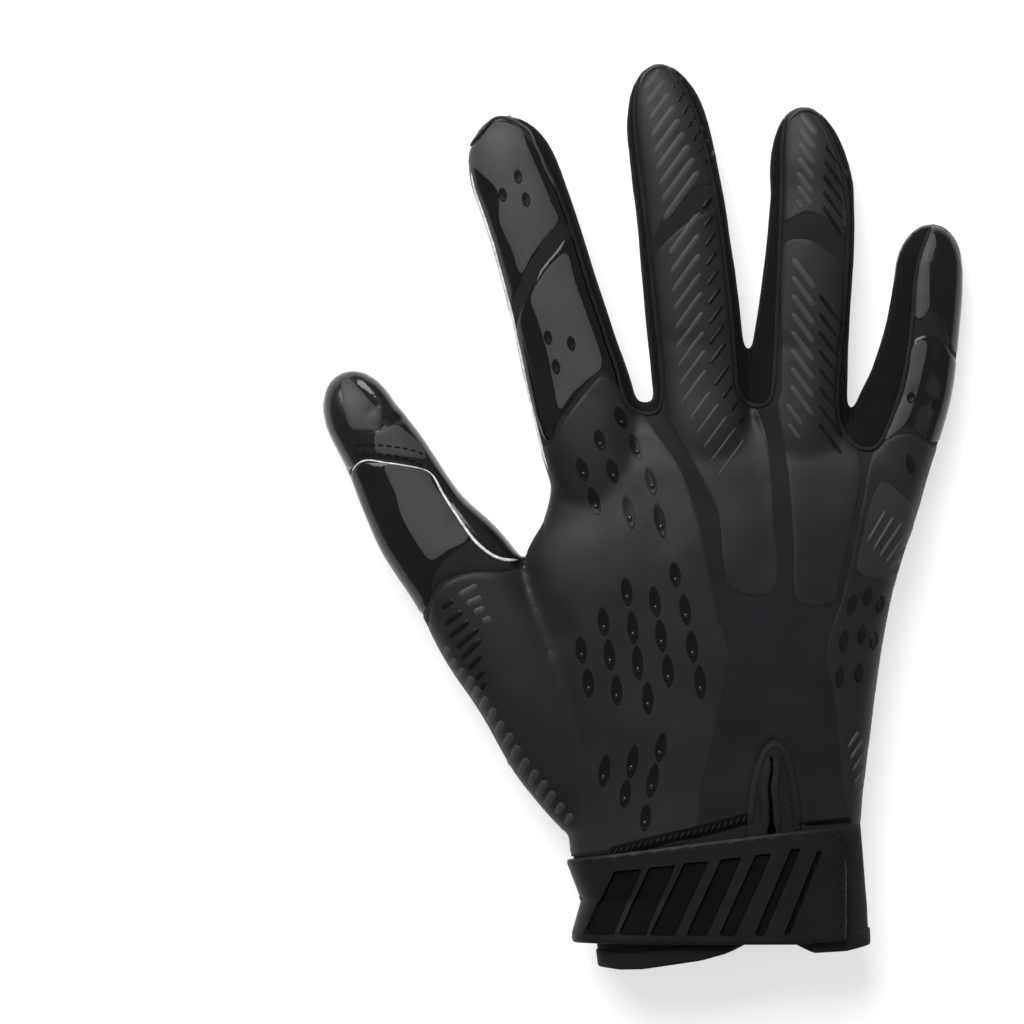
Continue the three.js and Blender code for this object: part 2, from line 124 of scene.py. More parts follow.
# seams of the back, seen from above
webSeams = {
    "indexMiddle": [(-34.8, 108.2), (-27.8, 98.0), (-20.4, 81.0), (-14.2, 61.4), (-7.0, 40.0), (-4.6, 30.6),
                    (-0.6, 27.4), (3.2, 27.2), (5.4, 31.0), (3.7, 52.4), (0.4, 84.8), (-1.9, 104.0),
                    (-1.6, 115.0), (1.6, 123.6)],
    "middleRing": [(6.8, 122.6), (13.8, 110.0), (17.8, 96.0), (21.5, 76.0), (25.2, 43.0), (25.6, 34.0),
                   (28.8, 29.6), (32.6, 29.2), (35.2, 33.0), (36.3, 52.0), (37.6, 84.8), (38.0, 101.0),
                   (40.2, 111.4)],
    "ringLittle": [(46.6, 110.2), (52.6, 98.0), (55.6, 84.0), (54.8, 58.0), (52.6, 30.0), (55.0, 21.0),
                   (58.6, 17.6), (62.8, 17.6), (65.8, 22.2), (70.3, 34.8), (72.8, 49.6), (74.6, 67.4),
                   (79.4, 80.2)],
}
thumbWrapSeam = [(-84.0, 8.6), (-78.4, 12.6), (-73.5, 14.8), (-64.0, 14.3), (-57.7, 12.2), (-53.4, 6.8),
                 (-48.3, -2.6), (-42.8, -9.3), (-37.2, -12.8), (-32.0, -14.2)]
thumbRootSeam = [(-64.0, -35.0), (-58.4, -25.0), (-54.6, -18.8), (-47.6, -15.8), (-39.6, -15.6),
                 (-32.0, -14.2)]
thumbOutside = [(-31.6, -8.0), (-44.0, 30.0), (-60.0, 60.0), (-110.0, 60.0)]
ventShape = {"x": 35.4, "top": -60.6, "bottom": -89.5, "half": 7.0, "steps": 16}


def gridSkin(bm, rings, around=True):
    # a grid operator's sheet laid through rings of points, and closed round when the rings are loops
    sides = len(rings[0]) if around else len(rings[0]) - 1
    made = bmesh.ops.create_grid(bm, x_segments=sides, y_segments=len(rings) - 1, size=1)["verts"]
    for v in made:
        s = round((v.co.x + 1) / 2 * sides)
        r = round((v.co.y + 1) / 2 * (len(rings) - 1))
        v.co = Vector(rings[r][s % sides if around else s])
    if around:
        bmesh.ops.remove_doubles(bm, verts=made, dist=1e-4)
    return [v for v in made if v.is_valid]


def squareRound(angle):
    # how far across and up, from -1 to 1, a place on a squarish round lies
    return (math.copysign(abs(f(angle)) ** (2 / sectionPower), f(angle)) for f in (math.cos, math.sin))


def sectionRing(row, sides):
    # a rounded oblong between two ends, pressed flat where it would go under the floor
    leftX, leftY, rightX, rightY, low, high = row
    ring = []
    for s in range(sides):
        across, up = squareRound(2 * math.pi * (s + 0.5) / sides)
        share = (across + 1) / 2
        height = max(mix(low, high, (up + 1) / 2), 0)
        ring.append((mix(leftX, rightX, share), mix(leftY, rightY, share), height))
    return ring


def acrossRow(x, y, along, half, low, high):
    side = Vector((along.y, -along.x)) * half
    return (x - side.x, y - side.y, x + side.x, y + side.y, low, high)


def roundedEnd(row, end, rings):
    # sections that round off an end: the middle goes out along a sine, the size down along a cosine
    out = []
    for r in range(rings):
        angle = (r + 1) / rings * math.pi / 2
        values = [0.0] * 6
        for a, b in ((0, 2), (1, 3), (4, 5)):
            middle = mix(row[a] + row[b], end[a] + end[b], math.sin(angle)) / 2
            half = mix(end[b] - end[a], row[b] - row[a], math.cos(angle)) / 2
            values[a], values[b] = middle - half, middle + half
        out.append(tuple(values))
    return out


def limbSections(limb, step):
    line = curveThrough(limb["rows"], step)
    tip = Vector(limb["tip"][:2])
    out = []
    for i, (x, y, half, low, high) in enumerate(line):
        before = Vector(line[max(i - 1, 0)][:2])
        after = Vector(line[i + 1][:2]) if i + 1 < len(line) else tip
        out.append(acrossRow(x, y, (after - before).normalized(), half, low, high))
    end = (tip.x, tip.y, tip.x, tip.y, limb["tip"][2], limb["tip"][2])
    return out + roundedEnd(out[-1], end, endRings)


def handSections(step, beyond=5.0):
    # the hand's sections run on past the wrist, where they are cut off afterwards
    first, second = handRows[0], handRows[1]
    reach = beyond / abs(second[1] - first[1])
    rows = [tuple(mix(a, b, -reach) for a, b in zip(first, second))] + handRows
    return curveThrough(rows, step) + roundedEnd(handRows[-1], webEnd, endRings)


def closedForm(bm, sections, sides):
    made = gridSkin(bm, [sectionRing(row, sides) for row in sections])
    edges = {e for v in made for e in v.link_edges if e.is_boundary}
    bmesh.ops.holes_fill(bm, edges=list(edges), sides=0)


def meshObject(bm, name):
    mesh = bpy.data.meshes.new(name)
    bm.to_mesh(mesh)
    bm.free()
    piece = bpy.data.objects.new(name, mesh)
    bpy.context.scene.collection.objects.link(piece)
    return piece


def afterModifiers(piece):
    # the mesh that the live modifiers give, as a new bmesh; the carrier is removed
    graph = bpy.context.evaluated_depsgraph_get()
    bm = bmesh.new()
    bm.from_mesh(piece.evaluated_get(graph).to_mesh())
    bpy.data.objects.remove(piece)
    return bm


skin = {"voxel": 1.0, "smoothing": 7, "factor": 0.5, "limbSides": 44, "handSides": 96, "step": 2.2,
        "grow": 0.12, "lowest": 0.02, "snap": 0.02}


def makeSkin():
    # the outer surface of hand and fingers in one mesh, fused by a voxel remesh and smoothed
    bm = bmesh.new()
    closedForm(bm, handSections(skin["step"]), skin["handSides"])
    for limb in limbs.values():
        closedForm(bm, limbSections(limb, skin["step"]), skin["limbSides"])
    bmesh.ops.recalc_face_normals(bm, faces=bm.faces)
    carrier = meshObject(bm, "carrier")
    fuse = carrier.modifiers.new("fuse", "REMESH")
    fuse.mode = "VOXEL"
    fuse.voxel_size = skin["voxel"]
    bm = afterModifiers(carrier)
    for _ in range(skin["smoothing"]):
        bmesh.ops.smooth_vert(bm, verts=bm.verts, factor=skin["factor"],
                              use_axis_x=True, use_axis_y=True, use_axis_z=True)
    bm.normal_update()
    for v in bm.verts:
        v.co += v.normal * skin["grow"]
    # the palm lies flat
    for v in bm.verts:
        v.co.z = max(v.co.z, skin["lowest"])
    # what runs on past the wrist's seam is cut off
    along = (wristSeam["right"] - wristSeam["left"]).normalized()
    bmesh.ops.bisect_plane(bm, geom=bm.verts[:] + bm.edges[:] + bm.faces[:], dist=skin["snap"],
                           plane_co=wristSeam["left"], plane_no=Vector((along.y, -along.x, 0)),
                           clear_outer=True)
    bm.normal_update()
    return bm


print("shaping the skin")
skinMesh = makeSkin()
print("skin faces", len(skinMesh.faces))


# Seams and panels

def polygonDistance(outline):
    # signed distance in plan from a closed outline, negative inside
    corners = np.array([p[:2] for p in outline], dtype=float)
    runs = np.roll(corners, -1, axis=0) - corners

    def distances(coords):
        p = np.asarray(coords)[:, None, :2]
        offset = p - corners[None]
        share = np.clip((offset * runs).sum(2) / np.maximum((runs ** 2).sum(1), 1e-9), 0, 1)
        gap = np.linalg.norm(offset - runs * share[..., None], axis=2).min(1)
        rising = np.where(runs[:, 1] == 0, 1e-9, runs[:, 1])
        crossed = (offset[..., 1] < 0) != (offset[..., 1] < runs[:, 1])
        inside = (crossed & (offset[..., 0] < offset[..., 1] * runs[:, 0] / rising)).sum(1) % 2 == 1
        return np.where(inside, -gap, gap)
    return distances


def seamDistance(coords):
    along, height = zip(*seamHeights)
    coords = np.asarray(coords)
    return coords[:, 2] - np.interp(coords[:, 1], along, height)


def ventOutline(grow=0.0):
    # the arch at the back of the wrist, from right to left
    angles = [math.pi * i / ventShape["steps"] for i in range(ventShape["steps"] + 1)]
    half, rise = ventShape["half"] + grow, ventShape["top"] + grow - ventShape["bottom"]
    return [(ventShape["x"] + half * math.cos(a), ventShape["bottom"] + rise * math.sin(a)) for a in angles]


outlines = {name: polygonDistance(curveThrough(line, seamStep)) for name, line in webSeams.items()}
outlines["thumb"] = polygonDistance(curveThrough(thumbRootSeam, seamStep) + thumbOutside + [(-110.0, -35.0)])
outlines["wrap"] = polygonDistance(curveThrough(thumbWrapSeam, seamStep) + thumbOutside)
outlines["vent"] = polygonDistance(ventOutline())
panelNames = ["back", "palm", "thumbBack", "thumbPalm", "indexMiddle", "middleRing", "ringLittle", "vent"]


def cornerPlaces(bm):
    return np.array([v.co[:] for v in bm.verts])


def faceCentres(bm):
    return np.array([f.calc_center_median()[:] for f in bm.faces])


def cutAlong(bm, distances, snap=0.12):
    # splits the faces along the line where the distance is nought
    values = dict(zip(bm.verts, distances(cornerPlaces(bm))))
    onLine = [v for v, value in values.items() if abs(value) < snap]
    for v in onLine:
        values[v] = 0.0
    for edge in list(bm.edges):
        a, b = edge.verts
        if values[a] * values[b] < 0:
            onLine.append(bmesh.utils.edge_split(edge, a, values[a] / (values[a] - values[b]))[1])
    bmesh.ops.connect_verts(bm, verts=onLine)


def labelPanels(bm):
    # every face is given the panel that it belongs to
    for distances in [seamDistance] + list(outlines.values()):
        cutAlong(bm, distances)
    layer = bm.faces.layers.int.new("panel")
    centres = faceCentres(bm)
    away = {name: distances(centres) for name, distances in outlines.items()}
    above = seamDistance(centres) > 0
    for i, face in enumerate(bm.faces):
        name = "back" if above[i] else "palm"
        if away["thumb"][i] < 0:
            name = "thumbBack" if above[i] and away["wrap"][i] > 0 else "thumbPalm"
        elif above[i]:
            for inside in ("indexMiddle", "middleRing", "ringLittle", "vent"):
                if away[inside][i] < 0:
                    name = inside
        face[layer] = panelNames.index(name)
    return layer


def seamPlace(v, layer, label):
    # a corner on a seam, its normal and the way from it into the labelled panel
    centre = Vector()
    own = [f for f in v.link_faces if f[layer] == label]
    for f in own:
        centre += f.calc_center_median() / len(own)
    inward = centre - v.co
    inward -= v.normal * inward.dot(v.normal)
    return v.co.copy(), v.normal.copy(), inward.normalized()


shortestChain = 9  # shorter runs of corners are left unsewn


def seamChains(bm, layer, first, others):
    # ordered runs of places where a panel meets others: each place has its normal and the way into the panel
    wanted = panelNames.index(first), [panelNames.index(o) for o in others]
    links = {}
    for edge in bm.edges:
        labels = [f[layer] for f in edge.link_faces]
        if len(labels) == 2 and wanted[0] in labels and (set(labels) & set(wanted[1])):
            for a, b in (edge.verts, reversed(edge.verts)):
                links.setdefault(a, []).append(b)
    chains, left = [], set(links)
    for start in sorted(links, key=lambda v: (len(links[v]) != 1, v.index)):
        if start not in left:
            continue
        chain, here = [start], start
        left.discard(start)
        while True:
            onward = [v for v in links[here] if v in left]
            if not onward:
                break
            here = onward[0]
            left.discard(here)
            chain.append(here)
        if len(chain) >= shortestChain:
            chains.append([seamPlace(v, layer, wanted[0]) for v in chain])
    return chains


# Creases of the back and the palm: start, end, depth and width
creases = {
    "back": [((-79.3, 37.6), (-71.4, 31.0), 0.8, 0.9), ((-71.0, 23.6), (-64.0, 26.4), 0.9, 0.9),
             ((-74.0, 27.4), (-70.8, 29.8), 0.5, 0.8),
             ((30.0, 24.0), (36.0, -14.0), 0.4, 5.0), ((51.0, 10.0), (50.0, -30.0), 0.4, 5.5),
             ((-3.0, 22.0), (6.0, -8.0), 0.5, 4.5), ((-33.0, -14.0), (-22.0, -34.0), 0.9, 4.5),
             ((-22.0, -34.0), (-16.0, -64.0), 0.6, 6.0), ((-52.0, -2.0), (-44.0, -12.0), 0.4, 2.5),
             ((-16.0, 34.0), (-3.0, 26.0), 0.35, 2.2), ((6.0, 47.0), (25.0, 44.0), 0.3, 2.6),
             ((33.0, 46.0), (54.0, 44.0), 0.3, 2.4), ((60.0, 30.0), (78.0, 33.0), 0.35, 2.2)],
    "palm": [((-26.0, 22.0), (-2.0, 20.0), 0.9, 1.6), ((4.0, 27.0), (28.0, 26.0), 0.9, 1.6),
             ((31.0, 27.0), (55.0, 24.0), 0.9, 1.6), ((57.0, 16.0), (78.0, 20.0), 0.8, 1.5),
             ((-29.0, 62.0), (-15.0, 62.5), 0.6, 1.3), ((1.0, 71.0), (22.0, 71.0), 0.6, 1.3),
             ((34.0, 62.0), (55.0, 62.0), 0.6, 1.3), ((67.0, 46.0), (83.0, 47.0), 0.5, 1.2),
             ((-24.0, -2.0), (20.0, -8.0), 1.0, 2.4), ((20.0, -8.0), (66.0, -2.0), 0.8, 2.4),
             ((-25.0, -20.0), (2.0, -44.0), 1.0, 2.6), ((2.0, -44.0), (4.0, -82.0), 0.9, 2.8),
             ((-58.0, 2.0), (-43.0, -3.0), 0.6, 1.6), ((-44.0, -22.0), (-30.0, -14.0), 0.7, 1.8),
             ((8.0, -68.0), (44.0, -74.0), 0.7, 2.2)]}
# shares of a crease's length: how far it runs on past each end, and how far it fades out over
creaseEnds = {"beyond": 0.3, "fade": 0.5}
seamGroove = {"depth": 0.55, "width": 0.75}
ripples = [(0.26, 24.0), (0.12, 9.0)]  # height and size of soft unevenness
rippleShift = Vector((3.1, 7.7, 1.3))


def pressCreases(bm, seamVerts):
    # a groove along every seam, the creases, and soft ripples all over
    beyond, fadeOver = creaseEnds["beyond"], creaseEnds["fade"]
    tree = KDTree(len(seamVerts))
    for i, v in enumerate(seamVerts):
        tree.insert(v.co, i)
    tree.balance()
    moves = []
    for v in bm.verts:
        gap = tree.find(v.co)[2]
        push = -seamGroove["depth"] * math.exp(-(gap / seamGroove["width"]) ** 2)
        side = "back" if v.normal.z > 0 else "palm"
        for start, end, depth, width in creases[side]:
            a, b = Vector(start), Vector(end)
            run = b - a
            share = (v.co.xy - a).dot(run) / run.length_squared
            if -beyond < share < 1 + beyond:
                nearest = a + run * min(max(share, 0), 1)
                fade = smoothStep((share + beyond) / fadeOver) * smoothStep((1 + beyond - share) / fadeOver)
                push -= depth * fade * abs(v.normal.z) * math.exp(-((v.co.xy - nearest).length / width) ** 2)
        for height, size in ripples:
            push += height * noise.noise(v.co / size + rippleShift)
        moves.append(v.normal * push)
    for v, move in zip(bm.verts, moves):
        v.co += move
        v.co.z = max(v.co.z, skin["lowest"])
    bm.normal_update()


print("cutting the seams")
panelLayer = labelPanels(skinMesh)
skinMesh.normal_update()
seamVerts = [v for v in skinMesh.verts if len({f[panelLayer] for f in v.link_faces}) > 1]
pressCreases(skinMesh, seamVerts)
surface = BVHTree.FromBMesh(skinMesh)
print("seam points", len(seamVerts))


# Finishes

def fromHex(code):
    # an sRGB hex value as linear colour
    channels = [int(code[i:i + 2], 16) / 255 for i in (1, 3, 5)]
    return [c / 12.92 if c <= 0.04045 else ((c + 0.055) / 1.055) ** 2.4 for c in channels] + [1.0]


def addNode(material, kind, settings, links):
    # adds a node, sets its properties or its sockets by name or number, and links sockets into it
    node = material.node_tree.nodes.new("ShaderNode" + kind)
    for name, value in settings.items():
        if isinstance(name, str) and hasattr(node, name):
            setattr(node, name, value)
        else:
            node.inputs[name].default_value = value
    for name, socket in links.items():
        material.node_tree.links.new(socket, node.inputs[name])
    return node


def newMaterial(name, settings, nodes):
    # settings are the shader's own; each node has a label that later ones link from, and one whose label is
    # an input of the shader feeds that input; a node without links takes its place on the object
    material = bpy.data.materials.new(name)
    material.use_nodes = True
    shader = material.node_tree.nodes["Principled BSDF"]
    for key, value in settings.items():
        shader.inputs[key].default_value = value
    made = {"place": addNode(material, "TexCoord", {}, {}).outputs["Object"]}
    for label, (kind, values, *links) in nodes.items():
        sources = links[0] if links else {"Vector": "place"}
        node = addNode(material, kind, values, {key: made[source] for key, source in sources.items()})
        made[label] = node.outputs[2 if kind == "Mix" else 0]
        for output in node.outputs[1:]:
            made[label + output.name] = output
        if label in shader.inputs:
            material.node_tree.links.new(made[label], shader.inputs[label])
    return material


def perMetre(size):
    return 1 / (size * mm)  # a texture's scale for a feature of that size in millimetres


def rowsPerMetre(pitch):
    return 0.314159 / (pitch * mm)  # a wave texture's scale for rows that far apart in millimetres


def tones(dark, light):
    # 6 and 7 are a mix node's sockets for its two colours
    return {"data_type": "RGBA", 6: fromHex(dark), 7: fromHex(light)}


def mottled(size, dark, light):
    # soft clouds of two tones, that many millimetres across
    return {
        "cloud": ("TexNoise", {"Scale": perMetre(size)}),
        "shade": ("MapRange", {"From Min": 0.35, "From Max": 0.65}, {"Value": "cloud"}),
        "Base Color": ("Mix", tones(dark, light), {0: "shade"}),
    }


def worn(size, low, high):
    # a roughness that wanders between two values over that many millimetres
    return {
        "rubbed": ("TexNoise", {"Scale": perMetre(size)}),
        "Roughness": ("MapRange", {"From Min": 0.3, "From Max": 0.7, "To Min": low, "To Max": high}, {
            "Value": "rubbed"}),
    }


def knitted(columnPitch, coursePitch):
    # columns and courses of stitches, that many millimetres apart
    return {
        "columns": ("TexWave", {"Scale": rowsPerMetre(columnPitch)}),
        "courses": ("TexWave", {"bands_direction": "Y", "Scale": rowsPerMetre(coursePitch)}),
        "knit": ("Math", {"operation": "MULTIPLY"}, {0: "columns", 1: "courses"}),
    }


def makeSatinFilm(name, dark, light, gloss):
    # heat-pressed thermoplastic film: an even satin face that takes the jersey's grain
    return newMaterial(name, {"Specular IOR Level": gloss, "IOR": 1.5}, {
        **mottled(22, dark, light), **worn(6, 0.46, 0.56),
        "grain": ("TexNoise", {"Scale": perMetre(0.6), "Detail": 3.0}),
        "grainBump": ("Bump", {"Strength": 0.25, "Distance": 0.05 * mm}, {"Height": "grain"}),
        "Normal": ("Bump", {"Strength": 0.1, "Distance": 0.2 * mm}, {
            "Height": "rubbed", "Normal": "grainBump"}),
    })


def makeStrapRubber(name, dark, light, roughness, gloss):
    # moulded thermoplastic rubber: satin raised faces, and a finely textured floor in the windows
    return newMaterial(name, {"IOR": 1.5, "Specular IOR Level": gloss}, {
        **mottled(9, dark, light), **worn(3, roughness, roughness + 0.1),
        "grain": ("TexNoise", {"Scale": perMetre(0.5)}),
        "Normal": ("Bump", {"Strength": 0.3, "Distance": 0.06 * mm}, {"Height": "grain"}),
    })


print("making the finishes")
finish = {
    # four-way stretch polyester jersey: matte, with faint columns of stitches, drawn 0.7 mm apart to show
    "jersey": newMaterial("polyester jersey, knitted", {
        "Roughness": 0.82, "Sheen Weight": 0.03, "Sheen Roughness": 0.5, "Specular IOR Level": 0.16,
    }, {
        **knitted(0.7, 0.9), **mottled(18, "#17171a", "#1e1e22"),
        "knitBump": ("Bump", {"Strength": 0.35, "Distance": 0.12 * mm}, {"Height": "knit"}),
        "fuzz": ("TexNoise", {"Scale": perMetre(1.2), "Detail": 3.0}),
        "Normal": ("Bump", {"Strength": 0.2, "Distance": 0.1 * mm}, {"Height": "fuzz", "Normal": "knitBump"}),
    }),
    # rib-knit nylon between the fingers: matte and dark, with ribs 1.1 mm apart along the finger
    "gusset": newMaterial("nylon rib knit", {
        "Roughness": 0.88, "Sheen Weight": 0.02, "Specular IOR Level": 0.12,
    }, {
        "along": ("Mapping", {"Rotation": (0, 0, math.radians(4))}),
        "ribs": ("TexWave", {"Scale": rowsPerMetre(1.1)}, {"Vector": "along"}),
        "Base Color": ("Mix", tones("#0a0a0b", "#0f0f11"), {0: "ribs"}),
        "ribBump": ("Bump", {"Strength": 0.28, "Distance": 0.2 * mm}, {"Height": "ribs"}),
        "fuzz": ("TexNoise", {"Scale": perMetre(0.8), "Detail": 3.0}),
        "Normal": ("Bump", {"Strength": 0.25, "Distance": 0.1 * mm}, {"Height": "fuzz", "Normal": "ribBump"}),
    }),
    # the film plain; a lighter copy of it as painted sheen, where films, ribs and piping show reflections and
    # highlights; and over a grey print
    "satin": makeSatinFilm("TPU film, satin", "#171717", "#1e1e1e", 0.24),
    "brightFilm": makeSatinFilm("TPU film, satin, painted sheen", "#363535", "#3e3d3d", 0.2),
    "patchFilm": makeSatinFilm("TPU film, satin grey", "#282828", "#2f2f2f", 0.2),
    # the same film pressed against a polished plate: near black with hard-edged reflections
    "gloss": newMaterial("TPU film, gloss", {"Roughness": 0.16, "IOR": 1.5, "Specular IOR Level": 0.36}, {
        **mottled(14, "#0a0a0a", "#0f0f0f"),
        "waves": ("TexNoise", {"Scale": perMetre(5)}),
        "Normal": ("Bump", {"Strength": 0.2, "Distance": 0.25 * mm}, {"Height": "waves"}),
    }),
    # silicone cast over microfibre: wet gloss, with a grid of pits 1.7 mm apart that fades towards the heel
    "grip": newMaterial("silicone, cast wet-look", {
        "IOR": 1.43, "Coat Weight": 0.18, "Coat Roughness": 0.1,
    }, {
        "turned": ("Mapping", {"Rotation": (0, 0, math.radians(7))}),
        "across": ("TexWave", {"Scale": rowsPerMetre(1.7)}, {"Vector": "turned"}),
        "along": ("TexWave", {"bands_direction": "Y", "Scale": rowsPerMetre(1.7)}, {"Vector": "turned"}),
        "grid": ("Math", {"operation": "MULTIPLY"}, {0: "across", 1: "along"}),
        "split": ("SeparateXYZ", {}, {0: "place"}),
        "reach": ("MapRange", {"From Min": -62 * mm, "From Max": 12 * mm}, {"Value": "splitY"}),
        "below": ("MapRange", {"From Min": 10 * mm, "From Max": 7 * mm}, {"Value": "splitZ"}),
        "printed": ("Math", {"operation": "MULTIPLY"}, {0: "reach", 1: "below"}),
        "pits": ("Math", {"operation": "MULTIPLY"}, {0: "grid", 1: "printed"}),
        "shade": ("MapRange", {"From Min": 0.12, "From Max": 0.75}, {"Value": "pits"}),
        "fibre": ("Mix", tones("#3c3c3d", "#121213"), {0: "shade"}),
        "Base Color": ("Mix", {"data_type": "RGBA", 6: fromHex("#0f0f10")}, {0: "below", 7: "fibre"}),
        **worn(8, 0.14, 0.3),
        "land": ("Math", {"operation": "SUBTRACT", 0: 1.0}, {1: "pits"}),
        "pitBump": ("Bump", {"Strength": 0.7, "Distance": 0.35 * mm}, {"Height": "land"}),
        "Normal": ("Bump", {"Strength": 0.25, "Distance": 0.6 * mm}, {
            "Height": "rubbed", "Normal": "pitBump"}),
    }),
    # printed silicone: nearly black, its body satin
    "drops": newMaterial("silicone, printed satin", {
        "Roughness": 0.3, "IOR": 1.43, "Specular IOR Level": 0.17,
    }, {
        "cloud": ("TexNoise", {"Scale": perMetre(3)}),
        "Base Color": ("Mix", tones("#0c0c0c", "#141414"), {0: "cloud"}),
        "Normal": ("Bump", {"Strength": 0.1, "Distance": 0.1 * mm}, {"Height": "cloud"}),
    }),
    # the same silicone, cured glossy: one sharp highlight on each drop's bead
    "beads": newMaterial("silicone, cured gloss", {"Roughness": 0.1, "IOR": 1.43}, {
        "cloud": ("TexNoise", {"Scale": perMetre(3)}),
        "Base Color": ("Mix", tones("#0e0e0e", "#181818"), {0: "cloud"}),
    }),
    # jersey-faced neoprene: matte and smooth, with a faint fine knit drawn at 0.8 mm
    "neoprene": newMaterial("neoprene, jersey-faced", {
        "Roughness": 0.78, "Sheen Weight": 0.02, "Specular IOR Level": 0.16,
    }, {
        **knitted(0.8, 0.8), **mottled(12, "#131314", "#1a1a1b"),
        "knitBump": ("Bump", {"Strength": 0.3, "Distance": 0.1 * mm}, {"Height": "knit"}),
        "Normal": ("Bump", {"Strength": 0.15, "Distance": 0.3 * mm}, {
            "Height": "cloud", "Normal": "knitBump"}),
    }),
    "strap": makeStrapRubber("TPR, moulded satin", "#0e0e0e", "#131313", 0.42, 0.17),
    "window": makeStrapRubber("TPR, spark-textured", "#030303", "#070707", 0.6, 0.08),
    # nylon hook tape: a dull bed of hooks, 1.2 mm apart
    "hooks": newMaterial("nylon hook tape, woven", {"Roughness": 0.9, "Specular IOR Level": 0.3}, {
        "hooks": ("TexVoronoi", {"Scale": perMetre(1.2)}),
        "shade": ("MapRange", {"From Max": 0.6}, {"Value": "hooks"}),
        "Base Color": ("Mix", tones("#101011", "#060606"), {0: "shade"}),
        "Normal": ("Bump", {"Strength": 0.8, "Distance": 0.5 * mm}, {"Height": "hooks"}),
    }),
    # woven polyester ribbon: fine ribs across its width, 0.9 mm apart
    "ribbon": newMaterial("polyester ribbon, woven", {
        "Roughness": 0.7, "Sheen Weight": 0.02, "Specular IOR Level": 0.2,
    }, {
        "weft": ("TexWave", {"bands_direction": "Y", "Scale": rowsPerMetre(0.9)}),
        "Base Color": ("Mix", tones("#1c1c1d", "#2a2a2b"), {0: "weft"}),
        "Normal": ("Bump", {"Strength": 0.5, "Distance": 0.15 * mm}, {"Height": "weft"}),
    }),
    # bonded polyester thread, twisted: dark, slightly shiny
    "thread": newMaterial("polyester thread, twisted", {"Roughness": 0.6, "Specular IOR Level": 0.15}, {
        "twist": ("TexNoise", {"Scale": perMetre(1.0)}),
        "Base Color": ("Mix", tones("#070707", "#101011"), {0: "twist"}),
        "Normal": ("Bump", {"Strength": 0.2, "Distance": 0.1 * mm}, {"Height": "twist"}),
    }),
    # foam-backed microfibre, die cut: its pale core shows along the palm's edge
    "cutEdge": newMaterial("microfibre core, die cut", {"Roughness": 0.75}, {
        **mottled(1.5, "#bdbcb9", "#edece8"),
        "nap": ("TexNoise", {"Scale": perMetre(0.5)}),
        "Normal": ("Bump", {"Strength": 0.4, "Distance": 0.08 * mm}, {"Height": "nap"}),
    }),
}


# Building on the surface

sharpEdge = 0.75  # radians between two faces


def finishPiece(bm, name, material, nodes=(), others=(), wall=0.0):
    # scales the mesh to metres and makes it a piece of the glove, with a wall behind its face if it has one
    bmesh.ops.scale(bm, vec=(mm, mm, mm), verts=bm.verts)
    bm.normal_update()
    for face in bm.faces:
        face.smooth = True
    for edge in bm.edges:
        if not edge.is_manifold or edge.calc_face_angle(0) > sharpEdge:
            edge.smooth = False
    piece = meshObject(bm, name)
    for each in (material, *others):
        piece.data.materials.append(finish[each])
    if wall:
        behind = piece.modifiers.new("wall", "SOLIDIFY")
        behind.thickness, behind.offset = wall * mm, -1
    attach(piece, "root")
    if nodes:
        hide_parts(*nodes)
    return piece


def dropFaces(bm, unwanted):
    bmesh.ops.delete(bm, geom=unwanted, context="FACES")


def keepPanel(labels):
    # a copy of the skin with only the faces of the named panels
    bm = skinMesh.copy()
    layer = bm.faces.layers.int["panel"]
    wanted = {panelNames.index(name) for name in labels}
    dropFaces(bm, [f for f in bm.faces if f[layer] not in wanted])
    return bm


def makePanels():
    for label, name, material, slot, node in (
            ("back", "backHand", "jersey", "back_fabric", "back_panel"),
            ("palm", "palmFace", "grip", "grip_silicone", "palm_panel"),
            ("thumbBack", "thumbBackSkin", "jersey", "back_fabric", "thumb_back"),
            ("thumbPalm", "thumbGrip", "grip", "grip_silicone", "thumb_palm"),
            ("indexMiddle", "gussetIndexMiddle", "gusset", "gusset_fabric", "gusset_index_middle"),
            ("middleRing", "gussetMiddleRing", "gusset", "gusset_fabric", "gusset_middle_ring"),
            ("ringLittle", "gussetRingLittle", "gusset", "gusset_fabric", "gusset_ring_little")):
        finishPiece(keepPanel([label]), name, material, [node], wall=wallThickness)


